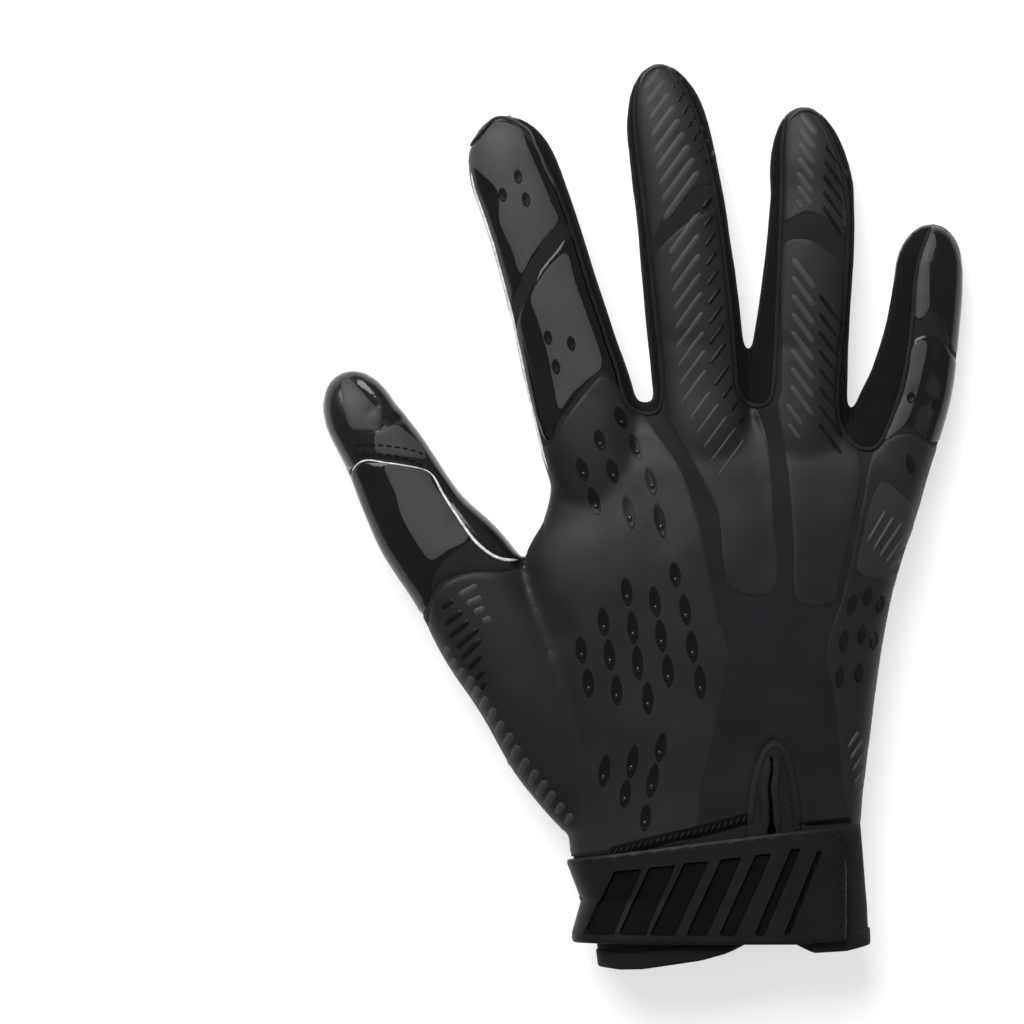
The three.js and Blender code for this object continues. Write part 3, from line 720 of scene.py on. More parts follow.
# Films pressed on the glove: outlines in the photograph's frame. Each lies on one panel, above a height, and
# is raised from the skin, its tapered border's foot less so
plainFilm = {"raised": 0.22, "foot": 0.05, "panel": "back", "above": 0}
# the lighter films below are painted reflections, laid over the glossy films where these show reflections
paintedSheen = {"finish": "brightFilm", "raised": 0.3, "foot": 0.235}
borderWidth = 0.45
filmStep = 1.5
filmMargin = 3  # the skin's faces that far round an outline are cut by it
filmOverlap = 0.1  # how far a film's wall reaches into the cloth
fineSnap = 0.06  # a cut goes through corners that are this near it
films = {
    "filmIndexTip": {"finish": "gloss", "outline": [
        (462, 166), (470, 148), (482, 134), (497, 119), (522, 124), (545, 158), (566, 205), (572, 222),
        (553, 230), (540, 248), (527, 266), (519, 286), (512, 300), (508, 318), (500, 308), (480, 240)]},
    "paintedReflectionIndexTop": {**paintedSheen, "outline": [
        (466, 157), (480, 140), (497, 122), (520, 129), (527, 146), (541, 178), (551, 203), (558, 221),
        (546, 236), (531, 257), (521, 274), (512, 250), (500, 222), (498, 192), (480, 172)]},
    "filmIndexRoot": {"finish": "gloss", "outline": [
        (570, 236), (586, 250), (604, 300), (622, 350), (640, 396), (630, 404), (612, 382), (604, 373),
        (588, 384), (560, 418), (552, 440), (545, 440), (530, 400), (516, 350), (518, 322), (526, 300),
        (540, 272), (556, 252)]},
    "paintedReflectionIndexMiddle": {**paintedSheen, "outline": [
        (567, 254), (574, 280), (586, 314), (597, 345), (601, 367), (586, 381), (572, 394), (560, 410),
        (555, 392), (547, 352), (537, 318), (531, 298), (544, 274), (556, 260)]},
    "filmHand": {"finish": "satin", "raised": 0.2, "outline": [
        (604, 377), (626, 395), (642, 410), (655, 432), (680, 470), (697, 520), (708, 570), (718, 620),
        (728, 655), (722, 690), (712, 740), (700, 790), (690, 838), (640, 846), (596, 852), (566, 850),
        (530, 806), (480, 730), (436, 668), (428, 640), (434, 600), (452, 580), (480, 571), (512, 570),
        (528, 560), (540, 547), (544, 528), (542, 500), (540, 470), (542, 448), (554, 444), (563, 423),
        (590, 388)]},
    "filmMiddleTip": {"finish": "satin", "outline": [
        (638, 96), (640, 80), (650, 68), (672, 66), (690, 82), (702, 110), (712, 150), (716, 182), (700, 186),
        (684, 200), (664, 220), (650, 238), (642, 160)]},
    "filmMiddle": {"finish": "satin", "outline": [
        (651, 262), (664, 244), (684, 226), (704, 214), (722, 212), (732, 262), (742, 330), (748, 386),
        (757, 410), (768, 450), (773, 510), (774, 588), (732, 590), (722, 560), (718, 516), (708, 492),
        (690, 458), (668, 418), (662, 350), (656, 300)]},
    "filmRingTip": {"finish": "satin", "outline": [
        (783, 200), (784, 150), (790, 114), (806, 110), (824, 122), (836, 150), (842, 190), (846, 226),
        (836, 224), (808, 213), (783, 222)]},
    "filmRing": {"finish": "satin", "outline": [
        (779, 250), (806, 240), (824, 250), (838, 264), (844, 300), (842, 350), (842, 400), (846, 430),
        (858, 452), (860, 480), (850, 530), (838, 580), (832, 602), (796, 600), (792, 540), (788, 480),
        (780, 430), (776, 404), (780, 390), (780, 320)]},
    "filmLittleTip": {"finish": "gloss", "outline": [
        (918, 250), (924, 232), (936, 226), (954, 240), (966, 280), (966, 320), (966, 352), (950, 348),
        (940, 320), (932, 312), (914, 318)]},
    "paintedReflectionLittleTip": {**paintedSheen, "outline": [
        (919, 252), (926, 236), (934, 232), (936, 246), (930, 262), (929, 290), (928, 310), (915, 316)]},
    "filmLittleRoot": {"finish": "gloss", "outline": [
        (912, 342), (932, 336), (948, 350), (966, 378), (962, 404), (952, 432), (932, 442), (908, 428),
        (884, 440), (900, 402), (908, 370)]},
    "paintedReflectionLittleRim": {**paintedSheen, "outline": [
        (913, 345), (926, 342), (922, 370), (914, 400), (904, 424), (884, 438), (900, 402), (908, 372)]},
    "filmOutside": {"finish": "satin", "raised": 0.2, "outline": [
        (874, 452), (904, 434), (930, 446), (938, 446), (930, 480), (908, 540), (890, 610), (876, 700),
        (868, 780), (866, 830), (850, 824), (842, 790), (838, 740), (832, 690), (825, 650), (840, 600),
        (850, 560), (862, 500)]},
    "filmOutsidePatch": {"finish": "patchFilm", "raised": 0.28, "foot": 0.22, "outline": [
        (880, 482), (897, 492), (912, 508), (912, 530), (900, 584), (881, 579), (856, 570), (861, 538),
        (868, 507)]},
    "filmThumb": {"finish": "gloss", "panel": "thumbBack", "outline": [
        (352, 492), (352, 472), (362, 462), (390, 463), (424, 469), (434, 484), (452, 510), (468, 532),
        (470, 542), (450, 556), (436, 572), (430, 592), (424, 616), (404, 590), (380, 552), (362, 520)]},
    "paintedReflectionThumbSide": {**paintedSheen, "panel": "thumbBack", "outline": [
        (386, 465), (424, 470), (433, 484), (450, 508), (466, 531), (466, 541), (446, 551), (434, 560),
        (426, 556), (414, 538), (402, 516), (396, 494)]},
    # painted reflections on the glossy grip of the thumb's tip: lighter film where it shows reflections
    "paintedReflectionThumbTip": {"finish": "brightFilm", "raised": 0.2, "above": 7.5, "panel": "thumbPalm", "outline": [
        (341, 384), (349, 379), (362, 392), (373, 404), (380, 411), (381, 421), (379, 431), (368, 430),
        (352, 429), (347, 419), (343, 402)]},
    "paintedReflectionThumbBand": {"finish": "brightFilm", "raised": 0.2, "above": 7.5, "panel": "thumbPalm", "outline": [
        (375, 436), (382, 429), (397, 425), (406, 432), (416, 440), (423, 449), (426, 459), (412, 457),
        (394, 456), (378, 455), (375, 446)]},
}


def placed(points):
    # a run of points in the photograph's frame, in the glove's
    return [fromPhoto(across, down) for across, down in points]


def makeFilm(name, film):
    # a thin sheet that takes the skin's form inside its outline, with its border tapered down to the cloth
    film = {**plainFilm, **film}
    outline = curveThrough(placed(film["outline"]), filmStep, closed=True)
    away = polygonDistance(outline)
    bm = keepPanel([film["panel"]])
    lowX, highX = min(p[0] for p in outline) - filmMargin, max(p[0] for p in outline) + filmMargin
    lowY, highY = min(p[1] for p in outline) - filmMargin, max(p[1] for p in outline) + filmMargin
    dropFaces(bm, [f for f in bm.faces if not (
        lowX < f.verts[0].co.x < highX and lowY < f.verts[0].co.y < highY
        and f.verts[0].co.z > film["above"])])
    for inset in (borderWidth, 0.0):
        cutAlong(bm, lambda coords: away(coords) + inset, fineSnap)
    centres = faceCentres(bm)
    outside = away(centres) > 0
    dropFaces(bm, [f for f, out in zip(bm.faces[:], outside) if out])
    bm.normal_update()
    inside = -away(cornerPlaces(bm))
    moves = [v.normal * mix(film["foot"], film["raised"], smoothStep(d / borderWidth))
             for v, d in zip(bm.verts, inside)]
    for v, move in zip(bm.verts, moves):
        v.co += move
    finishPiece(bm, name, film["finish"], wall=film["raised"] + filmOverlap)


print("sewing the panels")
makePanels()
print("pressing the films")
for name, film in films.items():
    makeFilm(name, film)


# Runs of thread, rolls and bars that lie on the glove

def fallOn(shape, x, y):
    # the place of a shape under a point seen from above, and its way up
    return shape.ray_cast(Vector((x, y, skyHeight)), Vector((0, 0, -1)))[:2]


def lying(hits):
    # a run's places, each with the way across the run; points beside the shape are left out
    hits = [hit for hit in hits if hit[0] is not None]
    places = []
    for i, (spot, normal) in enumerate(hits):
        run = hits[min(i + 1, len(hits) - 1)][0] - hits[max(i - 1, 0)][0]
        places.append((spot, normal, normal.cross(run).normalized()))
    return places


def drape(points, onto=None):
    # places on the back under a line seen from above: where, the way up, and the way across the line
    return lying([fallOn(onto or surface, x, y) for x, y in points])


def drawn(points, onto=None):
    # the same under a smooth line through points in the photograph's frame
    return drape(curveThrough(placed(points), 0.8), onto)


rimSearch = {"from": -2.6, "step": 0.2, "count": 28, "inset": 0.45}


def rimPlaces(points, towards):
    # places just inside the glove's outline: a little past the first that each point meets on its way in
    hits = []
    for x, y in points:
        for k in range(rimSearch["count"]):
            at = Vector((x, y)) + Vector(towards) * (k * rimSearch["step"] + rimSearch["from"])
            if fallOn(surface, *at)[0] is not None:
                hits.append(fallOn(surface, *(at + Vector(towards) * rimSearch["inset"])))
                break
    return lying(hits)


def evenPlaces(chain, step, softening=3):
    # the chain's places at even steps, softened so that the mesh's own steps don't show
    for _ in range(softening):
        soft = [tuple((a + b * 2 + c) / 4 for a, b, c in zip(*three))
                for three in zip(chain, chain[1:], chain[2:])]
        chain = [chain[0], *soft, chain[-1]]
    reach = [0.0]
    for a, b in zip(chain, chain[1:]):
        reach.append(reach[-1] + (b[0] - a[0]).length)
    total = reach[-1]
    pieces = max(2, round(total / step))
    out, k = [], 0
    for i in range(pieces + 1):
        goal = total * i / pieces
        while k < len(reach) - 2 and reach[k + 1] < goal:
            k += 1
        share = (goal - reach[k]) / max(reach[k + 1] - reach[k], 1e-6)
        co, normal, inward = (a.lerp(b, share) for a, b in zip(chain[k], chain[k + 1]))
        out.append((co, normal.normalized(), inward.normalized()))
    return out


def addTube(bm, rings):
    # a closed tube through rings of points, made apart and joined, which is quicker than growing a large mesh
    tube = bmesh.new()
    gridSkin(tube, rings)
    bmesh.ops.holes_fill(tube, edges=[e for e in tube.edges if e.is_boundary], sides=0)
    bmesh.ops.recalc_face_normals(tube, faces=tube.faces)
    mesh = bpy.data.meshes.new("tube")
    tube.to_mesh(mesh)
    tube.free()
    bm.from_mesh(mesh)
    bpy.data.meshes.remove(mesh)


def sweep(bm, places, profile, taper=0, start=1.0):
    # a closed tube through the places: its profile's points are (across, up). It tapers over that many places
    # at each end, and it may start thinner, and widen about its middle
    count = len(places)
    rings = []
    for i, (co, normal, across) in enumerate(places):
        size = smoothStep((min(i, count - 1 - i) + 0.4) / taper) if taper else 1.0
        size *= mix(start, 1.0, smoothStep(i / count * 4 - 1.5))
        rings.append([co + across * a * size + normal * b * size for a, b in profile])
    addTube(bm, rings)


def roundProfile(across, up, sides=8):
    angles = [2 * math.pi * s / sides for s in range(sides)]
    return [(across * math.cos(angle), up * math.sin(angle)) for angle in angles]


def layRoll(bm, lies, kind, softening=3, taper=3, start=1.0):
    # a roll of cloth along places on the glove, raised from it and moved across its run
    places = [(co + across * kind.get("inward", 0.0) + normal * kind["lift"], normal, across)
              for co, normal, across in evenPlaces(lies, kind["step"], softening)]
    sweep(bm, places, roundProfile(kind["across"], kind["up"]), taper, start)


def barProfile(width, height, foot):
    # a low bar with a soft crown
    return [(width * a, foot + height * b) for a, b in (
        (-0.5, 0), (-0.34, 0.5), (-0.14, 0.95), (0.14, 0.95), (0.34, 0.5), (0.5, 0), (0, -0.3))]


def sewRun(bm, chain, thread):
    # single stitches along a chain: each is a short thread that dips into the cloth at both ends
    steps = 6  # from one stitch to the next
    if len(chain) < 4:
        return
    fine = evenPlaces(chain, thread["pitch"] / steps)
    length = max(3, round(thread["length"] / thread["pitch"] * steps) + 1)
    for start in range(0, len(fine) - length, steps):
        places = []
        for k, (co, normal, across) in enumerate(fine[start:start + length]):
            share = k / (length - 1)
            slip = thread.get("inward", 0) + thread.get("slant", 0) * (share - 0.5)
            dip = math.sin(math.pi * share)
            up = thread["lift"] + thread["radius"] * 1.4 * (dip - 1)
            places.append((co + across * slip + normal * up, normal, across))
        sweep(bm, places, roundProfile(thread["radius"], thread["radius"], 6), taper=2)


def sewPiece(name, rows, material="thread"):
    # rows of stitches in one piece, each a chain of places and its kind of thread
    bm = bmesh.new()
    for chain, thread in rows:
        sewRun(bm, chain, thread)
    finishPiece(bm, name, material)


# Ribs of the fingers: how many and which way they slope, then the first and the last in the photograph's
# frame, as start, length of the light part, start and end of the dark part, and the light part's width in
# millimetres
# the ribs stand up from the film; a light part's colour is a painted highlight and a dark part's is painted
# shade
ribs = {"slope": 54, "height": 0.22, "foot": 0.18, "darkWidth": 1.25, "shortest": 4, "step": 0.8,
        "fewestSteps": 12}
ribRuns = [
    (9, 1, (642, 92, 34, 34, 50, 2.0), (662, 222, 66, 66, 88, 2.0)),
    (9, 1, (667, 258, 56, 60, 76, 1.8), (678, 408, 50, 50, 84, 1.1)),
    (5, 1, (687, 423, 42, 42, 74, 0.95), (715, 479, 52, 52, 54, 0.8)),
    (5, -1, (799, 110, 34, 38, 84, 2.0), (795, 170, 34, 40, 84, 1.9)),
    (2, -1, (796, 184, 30, 0, 0, 1.8), (795, 199, 14, 0, 0, 1.6)),
    (8, -1, (790, 256, 44, 44, 94, 1.8), (788, 383, 44, 46, 92, 1.6)),
    (2, -1, (784, 402, 32, 0, 0, 1.5), (786, 422, 24, 0, 0, 1.3)),
]
# short ribs, each from its lower to its upper end, with their width and how much higher they lie: light and
# dark at the thumb's root, light along the thumb's edge and thin ones on the outside of the hand
# the light short ribs carry a painted highlight, the dark ones painted shade
shortRibs = {
    "rootLight": (1.9, 0.0, [
        (457, 596, 480, 584), (465, 605, 484, 596), (473, 613, 486, 607), (482, 622, 492, 617)]),
    "thumbEdge": (2.3, 0.08, [
        (444, 660, 450, 646), (450, 671, 457, 658), (457, 681, 465, 667), (465, 692, 474, 675),
        (472, 702, 480, 685), (479, 713, 488, 695), (487, 726, 496, 706), (494, 739, 504, 719),
        (501, 752, 513, 731), (509, 764, 520, 743), (517, 777, 529, 756), (527, 789, 538, 767),
        (535, 800, 547, 778), (543, 810, 555, 789), (553, 819, 564, 801), (562, 829, 573, 812)]),
    "outside": (1.0, 0.12, [
        (864, 545, 886, 508), (870, 553, 894, 514), (876, 560, 902, 520), (882, 566, 906, 530),
        (886, 572, 908, 541), (891, 577, 905, 553), (846, 748, 858, 729), (848, 760, 862, 737),
        (850, 772, 865, 747), (852, 784, 866, 761), (855, 796, 867, 775), (858, 806, 867, 789)]),
    "rootDark": (1.8, 0.0, [
        (441, 609, 455, 599), (443, 626, 465, 609), (446, 640, 472, 618), (454, 650, 481, 626),
        (459, 661, 484, 636), (467, 671, 484, 652), (475, 681, 485, 669), (480, 689, 487, 681)]),
}


def addRib(bm, start, end, width, lift=0.0):
    # a bar between two points in the photograph's frame, laid on the back at every fourth pixel
    length = math.dist(start, end)
    steps = max(4, round(length / 4))
    lies = drape(placed([(mix(start[0], end[0], k / steps), mix(start[1], end[1], k / steps))
                         for k in range(steps + 1)]))
    if len(lies) > 3:
        step = min(ribs["step"], length * photo["pixel"] / ribs["fewestSteps"])
        profile = barProfile(width, ribs["height"] + lift, ribs["foot"] + lift)
        sweep(bm, evenPlaces(lies, step, 2), profile, taper=3)


def makeRibs():
    # each rib of a finger has a light part, a painted highlight, and further on a dark one, painted shade
    light, dark = bmesh.new(), bmesh.new()
    right, up = math.cos(math.radians(ribs["slope"])), math.sin(math.radians(ribs["slope"]))
    for count, way, first, last in ribRuns:
        for i in range(count):
            x, y, lit, darkFrom, darkTo, litWidth = (mix(a, b, i / (count - 1)) for a, b in zip(first, last))
            for bm, start, end, width in ((light, 0, lit, litWidth),
                                          (dark, darkFrom, darkTo, ribs["darkWidth"])):
                if end - start > ribs["shortest"]:
                    addRib(bm, *((x + right * reach, y - way * up * reach) for reach in (start, end)), width)
    for kind, (width, lift, runs) in shortRibs.items():
        for run in runs:
            addRib(dark if kind == "rootDark" else light, run[:2], run[2:], width, lift)
    finishPiece(light, "ribsPaintedHighlight", "brightFilm")
    # the dark parts take the drops' near-black silicone as painted shade
    finishPiece(dark, "ribsPaintedShade", "drops")


# Printed drops: a lens with a raised border and a bead low down in it, and flat ones without a bead. Their
# rings are share of the width, share of the length, how far down the drop, and height
drops = {"sides": 16, "point": 1.25, "roundAt": 0.36, "sunk": 0.25}
lens = {"width": 3.1, "foot": 0.12, "rings": [
    (1.0, 1.0, 0.0, 0.0), (0.95, 0.97, 0.0, 0.2), (0.85, 0.9, 0.0, 0.23), (0.7, 0.74, 0.04, 0.14),
    (0.03, 0.03, 0.3, 0.12)]}
bead = {"width": 3.1, "foot": 0.12, "rings": [
    (0.42, 0.2, 0.4, 0.1), (0.38, 0.17, 0.4, 0.32), (0.24, 0.11, 0.4, 0.48), (0.03, 0.02, 0.4, 0.54)]}
flatDrop = {"width": 2.3, "foot": 0.28, "rings": [
    (1.0, 1.0, 0.0, 0.0), (0.94, 0.96, 0.0, 0.16), (0.8, 0.86, 0.0, 0.18), (0.6, 0.6, 0.0, 0.1),
    (0.03, 0.03, 0.0, 0.1)]}
# across, down, length and tilt in degrees, in the photograph's frame
dropPlaces = [
    (620, 418, 24, 20), (599, 440, 22, 14), (635, 447, 28, 20), (582, 469, 26, 18), (612, 471, 26, 14),
    (650, 480, 32, 14), (594, 501, 30, 16), (628, 511, 38, 12), (659, 520, 38, 12), (626, 591, 30, 8),
    (654, 601, 32, 8), (674, 574, 26, 8), (603, 621, 30, 6), (632, 627, 34, 6), (660, 635, 34, 6),
    (684, 609, 32, 8), (581, 649, 28, 6), (609, 654, 32, 6), (637, 662, 36, 4), (667, 670, 34, 4),
    (691, 646, 34, 6), (588, 682, 30, 4), (616, 689, 32, 2), (647, 697, 34, 2), (699, 681, 36, 4),
    (604, 770, 34, -8), (632, 760, 36, -10), (625, 792, 30, -8), (660, 746, 30, -10), (652, 779, 36, -10),
    (645, 816, 28, -6)]
smallDrops = [
    (518, 177, 15, 10), (503, 195, 15, 10), (526, 200, 16, 10), (548, 338, 15, 10), (571, 344, 16, 10),
    (556, 367, 16, 10), (910, 398, 12, -10), (935, 405, 12, -10), (850, 604, 22, -14), (842, 640, 22, -10),
    (838, 676, 22, -6), (866, 596, 20, -14), (860, 634, 20, -12), (857, 672, 20, -8), (879, 604, 18, -14),
    (873, 640, 18, -12), (909, 464, 20, 10)]


def addDrop(bm, place, kind):
    # rings laid on the back, each pointed at both ends unless it sits low in the drop
    across, down, length, tilt = place
    cosine, sine = math.cos(math.radians(tilt)), math.sin(math.radians(tilt))
    centreX, centreY = fromPhoto(across, down)
    half = length * photo["pixel"] / 2
    laid = []
    for wide, tall, low, height in kind["rings"]:
        ring = []
        for s in range(drops["sides"]):
            angle = 2 * math.pi * s / drops["sides"]
            point = mix(drops["point"], 1.0, low / drops["roundAt"])
            u = math.copysign(abs(math.sin(angle)) ** point, math.sin(angle)) * kind["width"] / 2 * wide
            v = (math.cos(angle) * tall - low) * half
            spot, normal = fallOn(surface, centreX + u * cosine - v * sine, centreY + u * sine + v * cosine)
            if spot is None:
                return
            ring.append(spot + normal * (kind["foot"] + height))
        laid.append(ring)
    addTube(bm, [[co - Vector((0, 0, drops["sunk"] + kind["foot"])) for co in laid[0]]] + laid)


def makeDrops():
    bm, beads = bmesh.new(), bmesh.new()
    for place in dropPlaces:
        addDrop(bm, place, lens)
        addDrop(beads, place, bead)
    for place in smallDrops:
        addDrop(bm, place, flatDrop)
    finishPiece(bm, "gripDrops", "drops")
    finishPiece(beads, "dropBeads", "beads")


# Seams: a roll of cloth beside each finger seam, thread along it, and the pale cut edge of the palm
thread = {"pitch": 2.3, "length": 1.6, "radius": 0.26, "lift": 0.3}
fineThread = {**thread, "radius": 0.2}
# the rows beside the seams, each that far into its panel, and the rows across the pull tab
rollRow = {**thread, "lift": 0.14, "inward": -1.15}
fingerRow = {**fineThread, "lift": 0.06, "inward": -1.5}
palmRow = {**fineThread, "lift": 0.08, "inward": 1.8}
tabRow = {**fineThread, "lift": -0.12}
roll = {"across": 0.62, "up": 0.5, "inward": 0.1, "lift": 0.25, "step": 1.3}
# piping over the finger tips, in the photograph's frame, lighter as a painted highlight along the lip
piping = {"across": 0.42, "up": 0.4, "lift": 0.42, "step": 0.8, "runs": [
    [(470, 148), (480, 134), (494, 119), (506, 118), (526, 128), (532, 136), (543, 166), (555, 190)],
    [(641, 86), (646, 74), (656, 67), (668, 67)], [(791, 120), (798, 112), (810, 110), (824, 119)]]}
# the palm's pale edge: its runs as points, half width, height, the share of them at its start, and for one on
# the outline the way in to it
cutEdge = {"lift": 0.2, "step": 0.8, "runs": [
    ([(350, 492), (350, 481), (354, 469), (364, 460), (384, 463), (400, 465), (420, 469), (432, 475),
      (443, 495), (461, 523), (474, 540), (492, 555), (506, 560), (518, 560)], 0.42, 0.36, 0.5, None),
    ([(468, 170), (475, 200), (482, 221), (495, 262), (500, 286), (508, 320), (517, 349), (526, 385),
      (536, 421), (546, 470)], 0.4, 0.4, 1.0, (1, 0))]}
# two rows across the thumb's tip, in the photograph's frame
thumbRows = {"thread": {"pitch": 2.2, "length": 2.05, "radius": 0.3, "lift": 0.26}, "runs": [
    [(353, 445), (374, 445), (394, 447), (415, 451), (428, 458)],
    [(353, 454), (380, 454), (404, 458), (426, 466)]]}


def chainsOf(first, *others):
    return seamChains(skinMesh, panelLayer, first, others)


def makeRolls():
    bm, rows = bmesh.new(), []
    for gusset in ("indexMiddle", "middleRing", "ringLittle"):
        for chain in chainsOf(gusset, "back"):
            layRoll(bm, chain, roll, 6)
            rows.append((chain, rollRow))
        rows += [(chain, fingerRow) for chain in chainsOf(gusset, "palm")]
    rows += [(chain, palmRow) for chain in chainsOf("palm", "back")]
    rows += [(drape(curveThrough(placed(run), 1.0)), thumbRows["thread"]) for run in thumbRows["runs"]]
    finishPiece(bm, "seamRolls", "jersey")
    sewPiece("seamThread", rows)
    piped = bmesh.new()
    for run in piping["runs"]:
        layRoll(piped, drawn(run), piping)
    finishPiece(piped, "tipPipingPaintedHighlight", "brightFilm")


def makePaleEdge():
    bm = bmesh.new()
    for points, across, up, start, towards in cutEdge["runs"]:
        line = curveThrough(placed(points), cutEdge["step"])
        lies = rimPlaces(line, towards) if towards else drape(line)
        layRoll(bm, lies, {**cutEdge, "across": across, "up": up}, 14 if towards else 4, 4, start)
    finishPiece(bm, "palmCutEdge", "cutEdge")


print("laying ribs and drops")
makeRibs()
makeDrops()
print("sewing the seams")
makeRolls()
makePaleEdge()


# The vent: a placket with a bound edge round a slit

vent = {"raised": 0.55, "bindingOut": -0.4, "lipOut": 0.35, "rowFrom": 36, "rowOut": -1.9,
        "binding": {"across": 1.0, "up": 0.75, "lift": 0.35, "step": 1.2},
        "lip": {"across": 0.95, "up": 0.665, "lift": 0.65, "step": 1.2},
        "row": {**fineThread, "lift": 0.65}}
slitLine = [(34.3, -64.6), (34.9, -68.0), (34.0, -73.0), (34.5, -79.0), (34.8, -88.4)]
slitHalf = [0.25, 0.9, 1.0, 1.1, 1.3]


def makeVent():
    line = curveThrough([(x, y, half) for (x, y), half in zip(slitLine, slitHalf)], 1.0)
    slit = [(x + half, y) for x, y, half in line] + [(x - half, y) for x, y, half in reversed(line)]
    away = polygonDistance(slit)
    bm = keepPanel(["vent"])
    cutAlong(bm, away, fineSnap)
    dropFaces(bm, [f for f, gap in zip(bm.faces[:], away(faceCentres(bm))) if gap < 0])
    bm.normal_update()
    for v in bm.verts:
        v.co += v.normal * vent["raised"]
    finishPiece(bm, "ventPlacket", "neoprene", ["vent_placket"], wall=wallThickness)
    binding = bmesh.new()
    layRoll(binding, drape(ventOutline(vent["bindingOut"])), vent["binding"], taper=2)
    for side in (-1, 1):
        lip = drape([(x + side * (half + vent["lipOut"]), y) for x, y, half in line])
        layRoll(binding, lip, vent["lip"])
    finishPiece(binding, "ventBinding", "jersey")
    places = drape([(x, y) for x, y in ventOutline(vent["rowOut"]) if x > vent["rowFrom"]])
    sewPiece("ventThread", [(places, vent["row"])])


print("making the vent")
makeVent()


# The cuff, its strap and what lies on it

cuffRows = [(-10.8, -127.0, 61.6, -124.0, 1.9, 25.2), (-12.2, -116.0, 61.2, -113.0, 1.9, 25.2),
            (-14.0, -104.0, 60.4, -101.0, 1.9, 24.8), (-18.3, -92.7, 58.9, -84.1, 1.9, 24.2)]
strapRows = [(-16.8, -118.0, 61.4, -117.0, 1.6, 26.2), (-16.6, -113.0, 61.2, -112.0, 1.6, 26.2),
             (-14.0, -104.0, 60.4, -101.0, 1.6, 25.8), (-19.7, -89.0, 58.4, -80.4, 1.6, 25.2)]
cuff = {"wall": 2.2, "columns": 150, "rows": 12, "middleY": -104.0, "rounds": 6, "tuck": 1.6,
        "tuckedFrom": 0.4, "tuckedIn": -1.2, "seamOver": 0.05, "lowest": 0.05, "slitX": 34.6,
        "slitTop": (1.0, -80.0), "slitFoot": (7.0, -130.0)}
# distance from the hem and how far the fold stands out there
cuffFolds = [(0.0, 0.12), (0.25, 0.4), (0.7, 0.5), (2.4, 0.5), (4.2, 0.5), (4.55, 0.36), (4.7, 0.0),
             (6.0, 0.0)]
cuffWaves = [(0.25, 16), (0.11, 6)]  # height and size of the cloth's soft waves
# places inside the band and over the pull tab, which their faces look away from
bandCentre = Vector((22, -104, 13))
tabCentre = Vector((16, -105, 20))
hemLine = [(-40, -121.0), (-14, -121.6), (-6, -122.5), (0, -122.3), (15.7, -119.9), (22.5, -118.0),
           (26.5, -116.2), (29.6, -114.0), (39.0, -114.0), (41.6, -115.8), (46, -117.9), (54.9, -117.5),
           (64.3, -115.3)]
# the strap starts on the back at its end's x and y and runs on that many half turns round the band
strap = {"clearance": 0.4, "thickness": 1.9, "windowDepth": 0.7, "windowSlope": 0.4, "windowFoot": -113.1,
         "edge": 0.7, "rounding": 0.45, "endHeight": 8.0, "end": (54.6, -100), "halfTurns": 1.22,
         "lowY": -119, "highY": -82, "columns": 190, "rows": 56, "snap": 0.08, "windowSnap": 0.07,
         "merge": 0.09, "windowBorder": 0.04}
strapOutline = [(-40, -92), (-18, -92.6), (16, -88.2), (37, -85.6), (54.1, -84.1), (54.1, -114.4),
                (42, -115.5), (-16.4, -115.4), (-18.2, -114.6), (-19, -112.8), (-40, -112.8)]
# each window's upper and lower place, its top and its width
strapWindows = [(-7, -14.3, -95.8, 7.3), (2, -5.9, -94.8, 7.0), (11.2, 2.2, -93.7, 6.6),
                (21, 11.7, -92.6, 5.6), (30.2, 20.4, -91.5, 4.4), (39.5, 29.8, -90, 2.7),
                (46.4, 37.6, -90.6, 1.5)]
# the row that sews the strap down, in the photograph's frame
strapRow = {"thread": {**thread, "length": 2.1, "lift": 0.1}, "runs": [
    [(821, 835), (830, 834), (838, 833)], [(839, 834), (839, 880), (839, 929)],
    [(838, 930), (832, 931), (826, 931)]]}
hookPad = {"clearance": 0.35, "thickness": 0.65, "step": 1.5,
           "outline": [(-6, -97), (14, -95), (14, -112), (-6, -112)]}
pullTab = {"low": 0.25, "wall": 0.8, "rows": 24, "columns": 14, "wave": 0.12, "waves": 9.0, "rise": 0.1,
           "outline": [(7.6, -91.2), (22.4, -89.6), (24.8, -116.6), (10, -119.2)],
           "sewnAt": (0.05, 0.93), "sewnPoints": 12}


def onBand(table, angle, y):
    # the point of a band's outer face at an angle round it and a given y
    across, up = squareRound(angle)
    share = (across + 1) / 2
    heights = [mix(row[1], row[3], share) for row in table]
    i = 0
    while i < len(table) - 2 and heights[i + 1] < y:
        i += 1
    between = (y - heights[i]) / (heights[i + 1] - heights[i])
    row = [mix(a, b, between) for a, b in zip(table[i], table[i + 1])]
    return Vector((mix(row[0], row[2], share), y, mix(row[4], row[5], (up + 1) / 2)))


def angleAt(table, x, y):
    # the angle round the band, on its back, of a place seen from above
    low, high = 0.0, math.pi
    for _ in range(30):
        middle = (low + high) / 2
        if onBand(table, middle, y).x > x:
            low = middle
        else:
            high = middle
    return low


def seamY(x):
    # where the cuff meets the hand
    share = (x - wristSeam["left"].x) / (wristSeam["right"].x - wristSeam["left"].x)
    return mix(wristSeam["left"].y, wristSeam["right"].y, share)


def hemY(x):
    return float(np.interp(x, *zip(*hemLine)))


def slitHalfAt(y):
    (topHalf, topY), (footHalf, footY) = cuff["slitTop"], cuff["slitFoot"]
    return mix(topHalf, footHalf, (topY - y) / (topY - footY))


def faceOut(bm, centre):
    # turns an open sheet so that its faces look away from the inside of the band
    bmesh.ops.recalc_face_normals(bm, faces=bm.faces)
    bm.normal_update()
    if sum((f.calc_center_median() - centre).dot(f.normal) * f.calc_area() for f in bm.faces) < 0:
        bmesh.ops.reverse_faces(bm, faces=bm.faces)
    bm.normal_update()


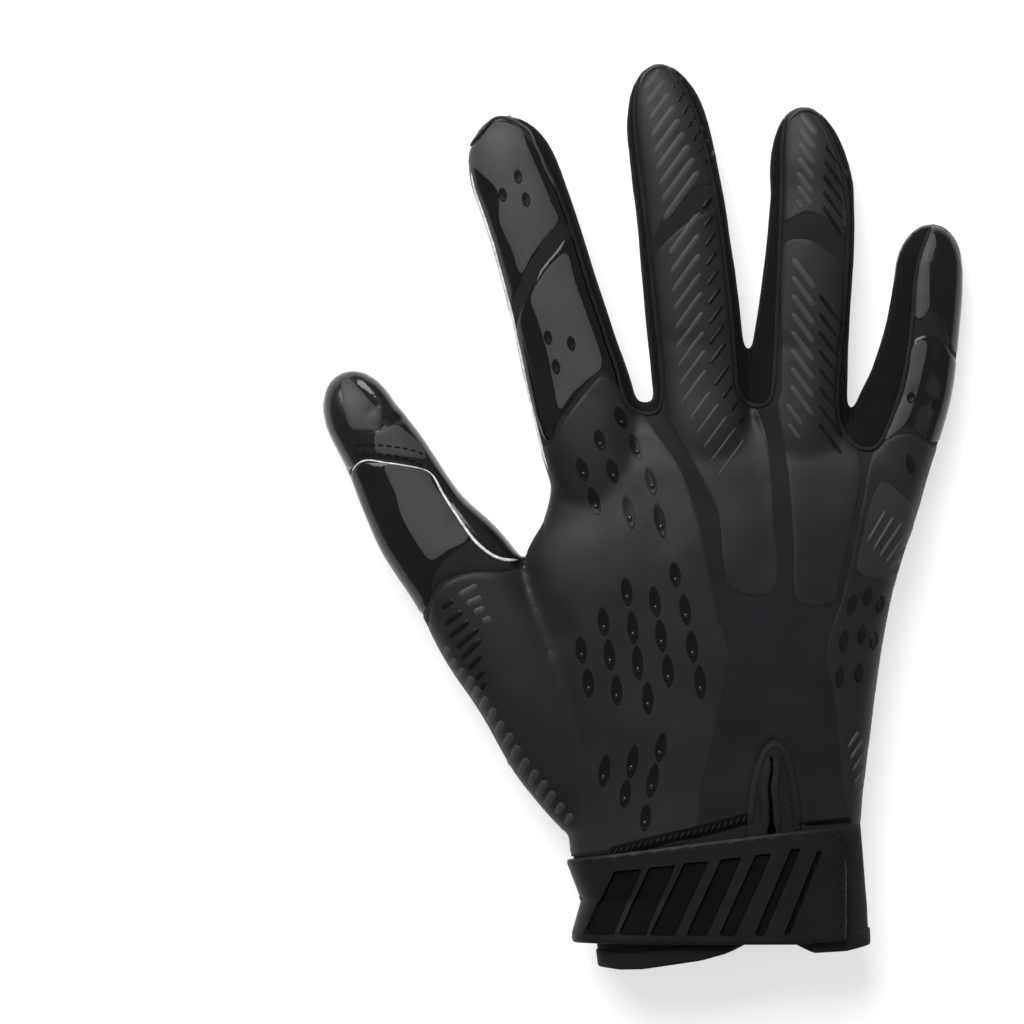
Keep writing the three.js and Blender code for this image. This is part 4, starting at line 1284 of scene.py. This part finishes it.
def makeCuff():
    # rows of the band at set distances from the hem, then at shares of the way to the seam, and one tucked in
    bm = bmesh.new()
    rings = []
    levels = [("hem", gap) for gap, out in cuffFolds]
    levels += [("share", (i + 1) / cuff["rows"]) for i in range(cuff["rows"])]
    levels.append(("tuck", cuff["tuck"]))
    for kind, value in levels:
        ring = []
        for side in range(cuff["columns"] + 1):
            share = side / cuff["columns"]
            y = cuff["middleY"]
            for _ in range(cuff["rounds"]):
                left = angleAt(cuffRows, cuff["slitX"] - slitHalfAt(y), y)
                right = angleAt(cuffRows, cuff["slitX"] + slitHalfAt(y), y) + 2 * math.pi
                angle = mix(left, right, share)
                x = onBand(cuffRows, angle, y).x
                start = hemY(x) + cuffFolds[-1][0]
                if kind == "tuck":
                    y = seamY(x) + value
                else:
                    seam = seamY(x) + cuff["seamOver"]
                    y = hemY(x) + value if kind == "hem" else mix(start, seam, value)
            ring.append(onBand(cuffRows, angle, y))
        rings.append(ring)
    gridSkin(bm, rings, around=False)
    faceOut(bm, bandCentre)
    for v in bm.verts:
        gap = v.co.y - hemY(v.co.x)
        out = float(np.interp(gap, *zip(*cuffFolds)))
        wave = sum(height * noise.noise(v.co / size) for height, size in cuffWaves)
        if v.co.y > seamY(v.co.x) + cuff["tuckedFrom"]:
            out = cuff["tuckedIn"]
        v.co += v.normal * (out + wave)
        v.co.z = max(v.co.z, cuff["lowest"])
    shape = BVHTree.FromBMesh(bm)
    finishPiece(bm, "cuffBand", "neoprene", ["cuff_band"], wall=cuff["wall"])
    return shape


def windowOutline(upperX, lowerX, upperY, width):
    foot = strap["windowFoot"]
    return [(upperX, upperY), (upperX + width, upperY + width * 0.1), (lowerX + width, foot), (lowerX, foot)]


def makeStrap():
    end = angleAt(strapRows, *strap["end"])
    columns, rowCount = strap["columns"], strap["rows"]
    angles = [mix(end, math.pi * strap["halfTurns"], k / columns) for k in range(columns + 1)]
    levels = [mix(strap["lowY"], strap["highY"], r / rowCount) for r in range(rowCount + 1)]
    bm = bmesh.new()
    gridSkin(bm, [[onBand(strapRows, a, y) for a in angles] for y in levels], around=False)
    faceOut(bm, bandCentre)
    edge = polygonDistance(strapOutline)
    cutAlong(bm, edge, strap["snap"])
    cutAlong(bm, lambda coords: edge(coords) + strap["edge"], strap["snap"])
    windows = [polygonDistance(windowOutline(*window)) for window in strapWindows]
    for away in windows:
        for inset in (0.0, strap["windowSlope"]):
            cutAlong(bm, lambda coords: away(coords) + inset, strap["windowSnap"])
    bmesh.ops.remove_doubles(bm, verts=bm.verts, dist=strap["merge"])
    cutAlong(bm, lambda coords: strap["endHeight"] - np.asarray(coords)[:, 2], strap["snap"])
    centres = faceCentres(bm)
    outside = (edge(centres) > 0) | (centres[:, 2] < strap["endHeight"])
    # the windows' walls and floors have the second finish
    for face, gap in zip(bm.faces, np.min([away(centres) for away in windows], axis=0)):
        face.material_index = 1 if gap < -strap["windowBorder"] else 0
    dropFaces(bm, [f for f, out in zip(bm.faces[:], outside) if out])
    bm.normal_update()
    places = cornerPlaces(bm)
    depth = np.min([away(places) for away in windows], axis=0)
    borders = np.minimum(-edge(places), places[:, 2] - strap["endHeight"])
    for v, gap, border in zip(list(bm.verts), depth, borders):
        sunk = strap["windowDepth"] * smoothStep(-gap / strap["windowSlope"])
        rounding = strap["rounding"] * (1 - smoothStep(border / strap["edge"])) ** 2
        v.co += v.normal * (strap["clearance"] + strap["thickness"] - sunk - rounding)
    shape = BVHTree.FromBMesh(bm)
    finishPiece(bm, "cuffStrap", "strap", ["cuff_strap"], others=["window"],
                wall=strap["thickness"] - strap["windowDepth"])
    sewPiece("strapThread",
             [(drawn(run, shape), strapRow["thread"]) for run in strapRow["runs"]])


def patchOn(shape, outline, step):
    # a grid of places over a shape, inside an outline of four corners
    a, b, c, d = (Vector(p) for p in outline)
    columns, rowCount = round((b - a).length / step), round((d - a).length / step)
    out = []
    for r in range(rowCount + 1):
        line = []
        for k in range(columns + 1):
            spot = a.lerp(b, k / columns).lerp(d.lerp(c, k / columns), r / rowCount)
            line.append(fallOn(shape, spot.x, spot.y)[0])
        out.append(line)
    return out


def makeHookPad(cuffShape):
    bm = bmesh.new()
    gridSkin(bm, patchOn(cuffShape, hookPad["outline"], hookPad["step"]), around=False)
    faceOut(bm, bandCentre)
    for v in bm.verts:
        v.co += v.normal * (hookPad["clearance"] + hookPad["thickness"])
    finishPiece(bm, "hookPad", "hooks", ["hook_patch"], wall=hookPad["thickness"])


def makePullTab():
    bm = bmesh.new()
    a, b, c, d = (Vector(p) for p in pullTab["outline"])
    rings = []
    columns = pullTab["columns"]
    for r in range(pullTab["rows"] + 1):
        share = r / pullTab["rows"]
        lift = pullTab["wave"] * math.sin(share * pullTab["waves"]) + pullTab["rise"]
        rings.append([(*a.lerp(b, k / columns).lerp(d.lerp(c, k / columns), share),
                       pullTab["low"] + lift * (k % columns > 0)) for k in range(columns + 1)])
    gridSkin(bm, rings, around=False)
    faceOut(bm, tabCentre)
    finishPiece(bm, "pullTab", "ribbon", ["pull_tab"], wall=pullTab["wall"])
    # two rows across it, seen from below
    rows, count = [], pullTab["sewnPoints"]
    for share in pullTab["sewnAt"]:
        left, right = a.lerp(d, share), b.lerp(c, share)
        rows.append(([(Vector((*left.lerp(right, k / count), pullTab["low"])), Vector((0, 0, -1)),
                       (d - a).normalized().to_3d()) for k in range(1, count)], tabRow))
    sewPiece("tabThread", rows)


hemRow = {"thread": {**thread, "lift": 0.1}, "points": [(46, -114.0), (52, -113.6), (59.0, -112.2)]}
wristRow = {"pitch": 1.7, "length": 2.1, "radius": 0.42, "lift": 0.32, "slant": 1.5}
# painted shade: near-black bars along the shaded grooves above the wrist's seam, in the photograph's frame,
# and their widths
grooves = {"height": 0.12, "foot": 0.2, "step": 1.0, "runs": [
    ([(606, 852), (630, 846), (660, 838), (700, 829), (752, 815)], 3.0),
    ([(800, 822), (830, 820), (860, 818)], 1.2)]}


def makeCuffThread(cuffShape):
    # thread along the hem's fold, and a thick slanted row in the first groove
    places = drape(curveThrough(hemRow["points"], 1.0), cuffShape)
    sewPiece("cuffThread", [(places, hemRow["thread"])])
    bm = bmesh.new()
    # near-black bars along the grooves, in the windows' finish: painted shade
    for run, width in grooves["runs"]:
        profile = barProfile(width, grooves["height"], grooves["foot"])
        sweep(bm, evenPlaces(drawn(run), grooves["step"]), profile, taper=2)
    finishPiece(bm, "wristGroovePaintedShade", "window")
    sewPiece("wristRow", [(drawn(grooves["runs"][0][0]), wristRow)], "jersey")


print("making the cuff")
cuffShape = makeCuff()
makeStrap()
makeHookPad(cuffShape)
makePullTab()
makeCuffThread(cuffShape)


# The stage: a pale floor, soft studio light and the camera

studio = {"distance": 2.4, "sensor": 36.0, "focus": 12.0, "floor": 3.0, "glow": 0.6, "world": 0.27}
lamps = {"keyLight": {"place": (-0.6, 1.4, 1.4), "size": (1.6, 1.6), "power": 56},
         "fillLight": {"place": (1.3, -0.6, 1.6), "size": (1.4, 1.4), "power": 2.5}}


def makeFloor():
    bm = bmesh.new()
    bmesh.ops.create_grid(bm, x_segments=1, y_segments=1, size=studio["floor"])
    floor = meshObject(bm, "floor")
    # white opal acrylic over a light box, sanded matte: it glows, so that shadows on it stay soft and pale
    floor.data.materials.append(newMaterial("opal acrylic, lit from below", {
        "Roughness": 0.9, "Specular IOR Level": 0.1,
        "Emission Color": (1, 1, 1, 1), "Emission Strength": studio["glow"],
    }, {
        "cloud": ("TexNoise", {"Scale": perMetre(400)}),
        "Base Color": ("Mix", tones("#cdcdcd", "#d3d3d3"), {0: "cloud"}),
    }))


def addArea(name, place, size, power):
    # a square of soft light that faces the glove
    lamp = bpy.data.lights.new(name, "AREA")
    lamp.shape = "RECTANGLE"
    lamp.size, lamp.size_y = size
    lamp.energy = power
    light = bpy.data.objects.new(name, lamp)
    light.location = place
    light.rotation_euler = (-Vector(place)).to_track_quat("-Z", "Y").to_euler()
    bpy.context.scene.collection.objects.link(light)


def makeStudio():
    world = bpy.data.worlds.new("studio")
    bpy.context.scene.world = world
    world.use_nodes = True
    background = world.node_tree.nodes["Background"]
    background.inputs["Color"].default_value = (1, 1, 1, 1)
    background.inputs["Strength"].default_value = studio["world"]
    for name, lamp in lamps.items():
        addArea(name, **lamp)
    bpy.context.scene.view_settings.view_transform = "Standard"


def makeCamera():
    lens = bpy.data.cameras.new("camera")
    lens.sensor_width = studio["sensor"]
    frameWidth = 2 * photo["half"] * photo["pixel"] * mm
    lens.lens = studio["sensor"] * (studio["distance"] - studio["focus"] * mm) / frameWidth
    lens.clip_start, lens.clip_end = 0.01, 20
    camera = bpy.data.objects.new("camera", lens)
    camera.location = (photo["middleX"] * mm, photo["middleY"] * mm, studio["distance"])
    bpy.context.scene.collection.objects.link(camera)
    bpy.context.scene.camera = camera


print("setting the stage")
makeFloor()
makeStudio()
makeCamera()
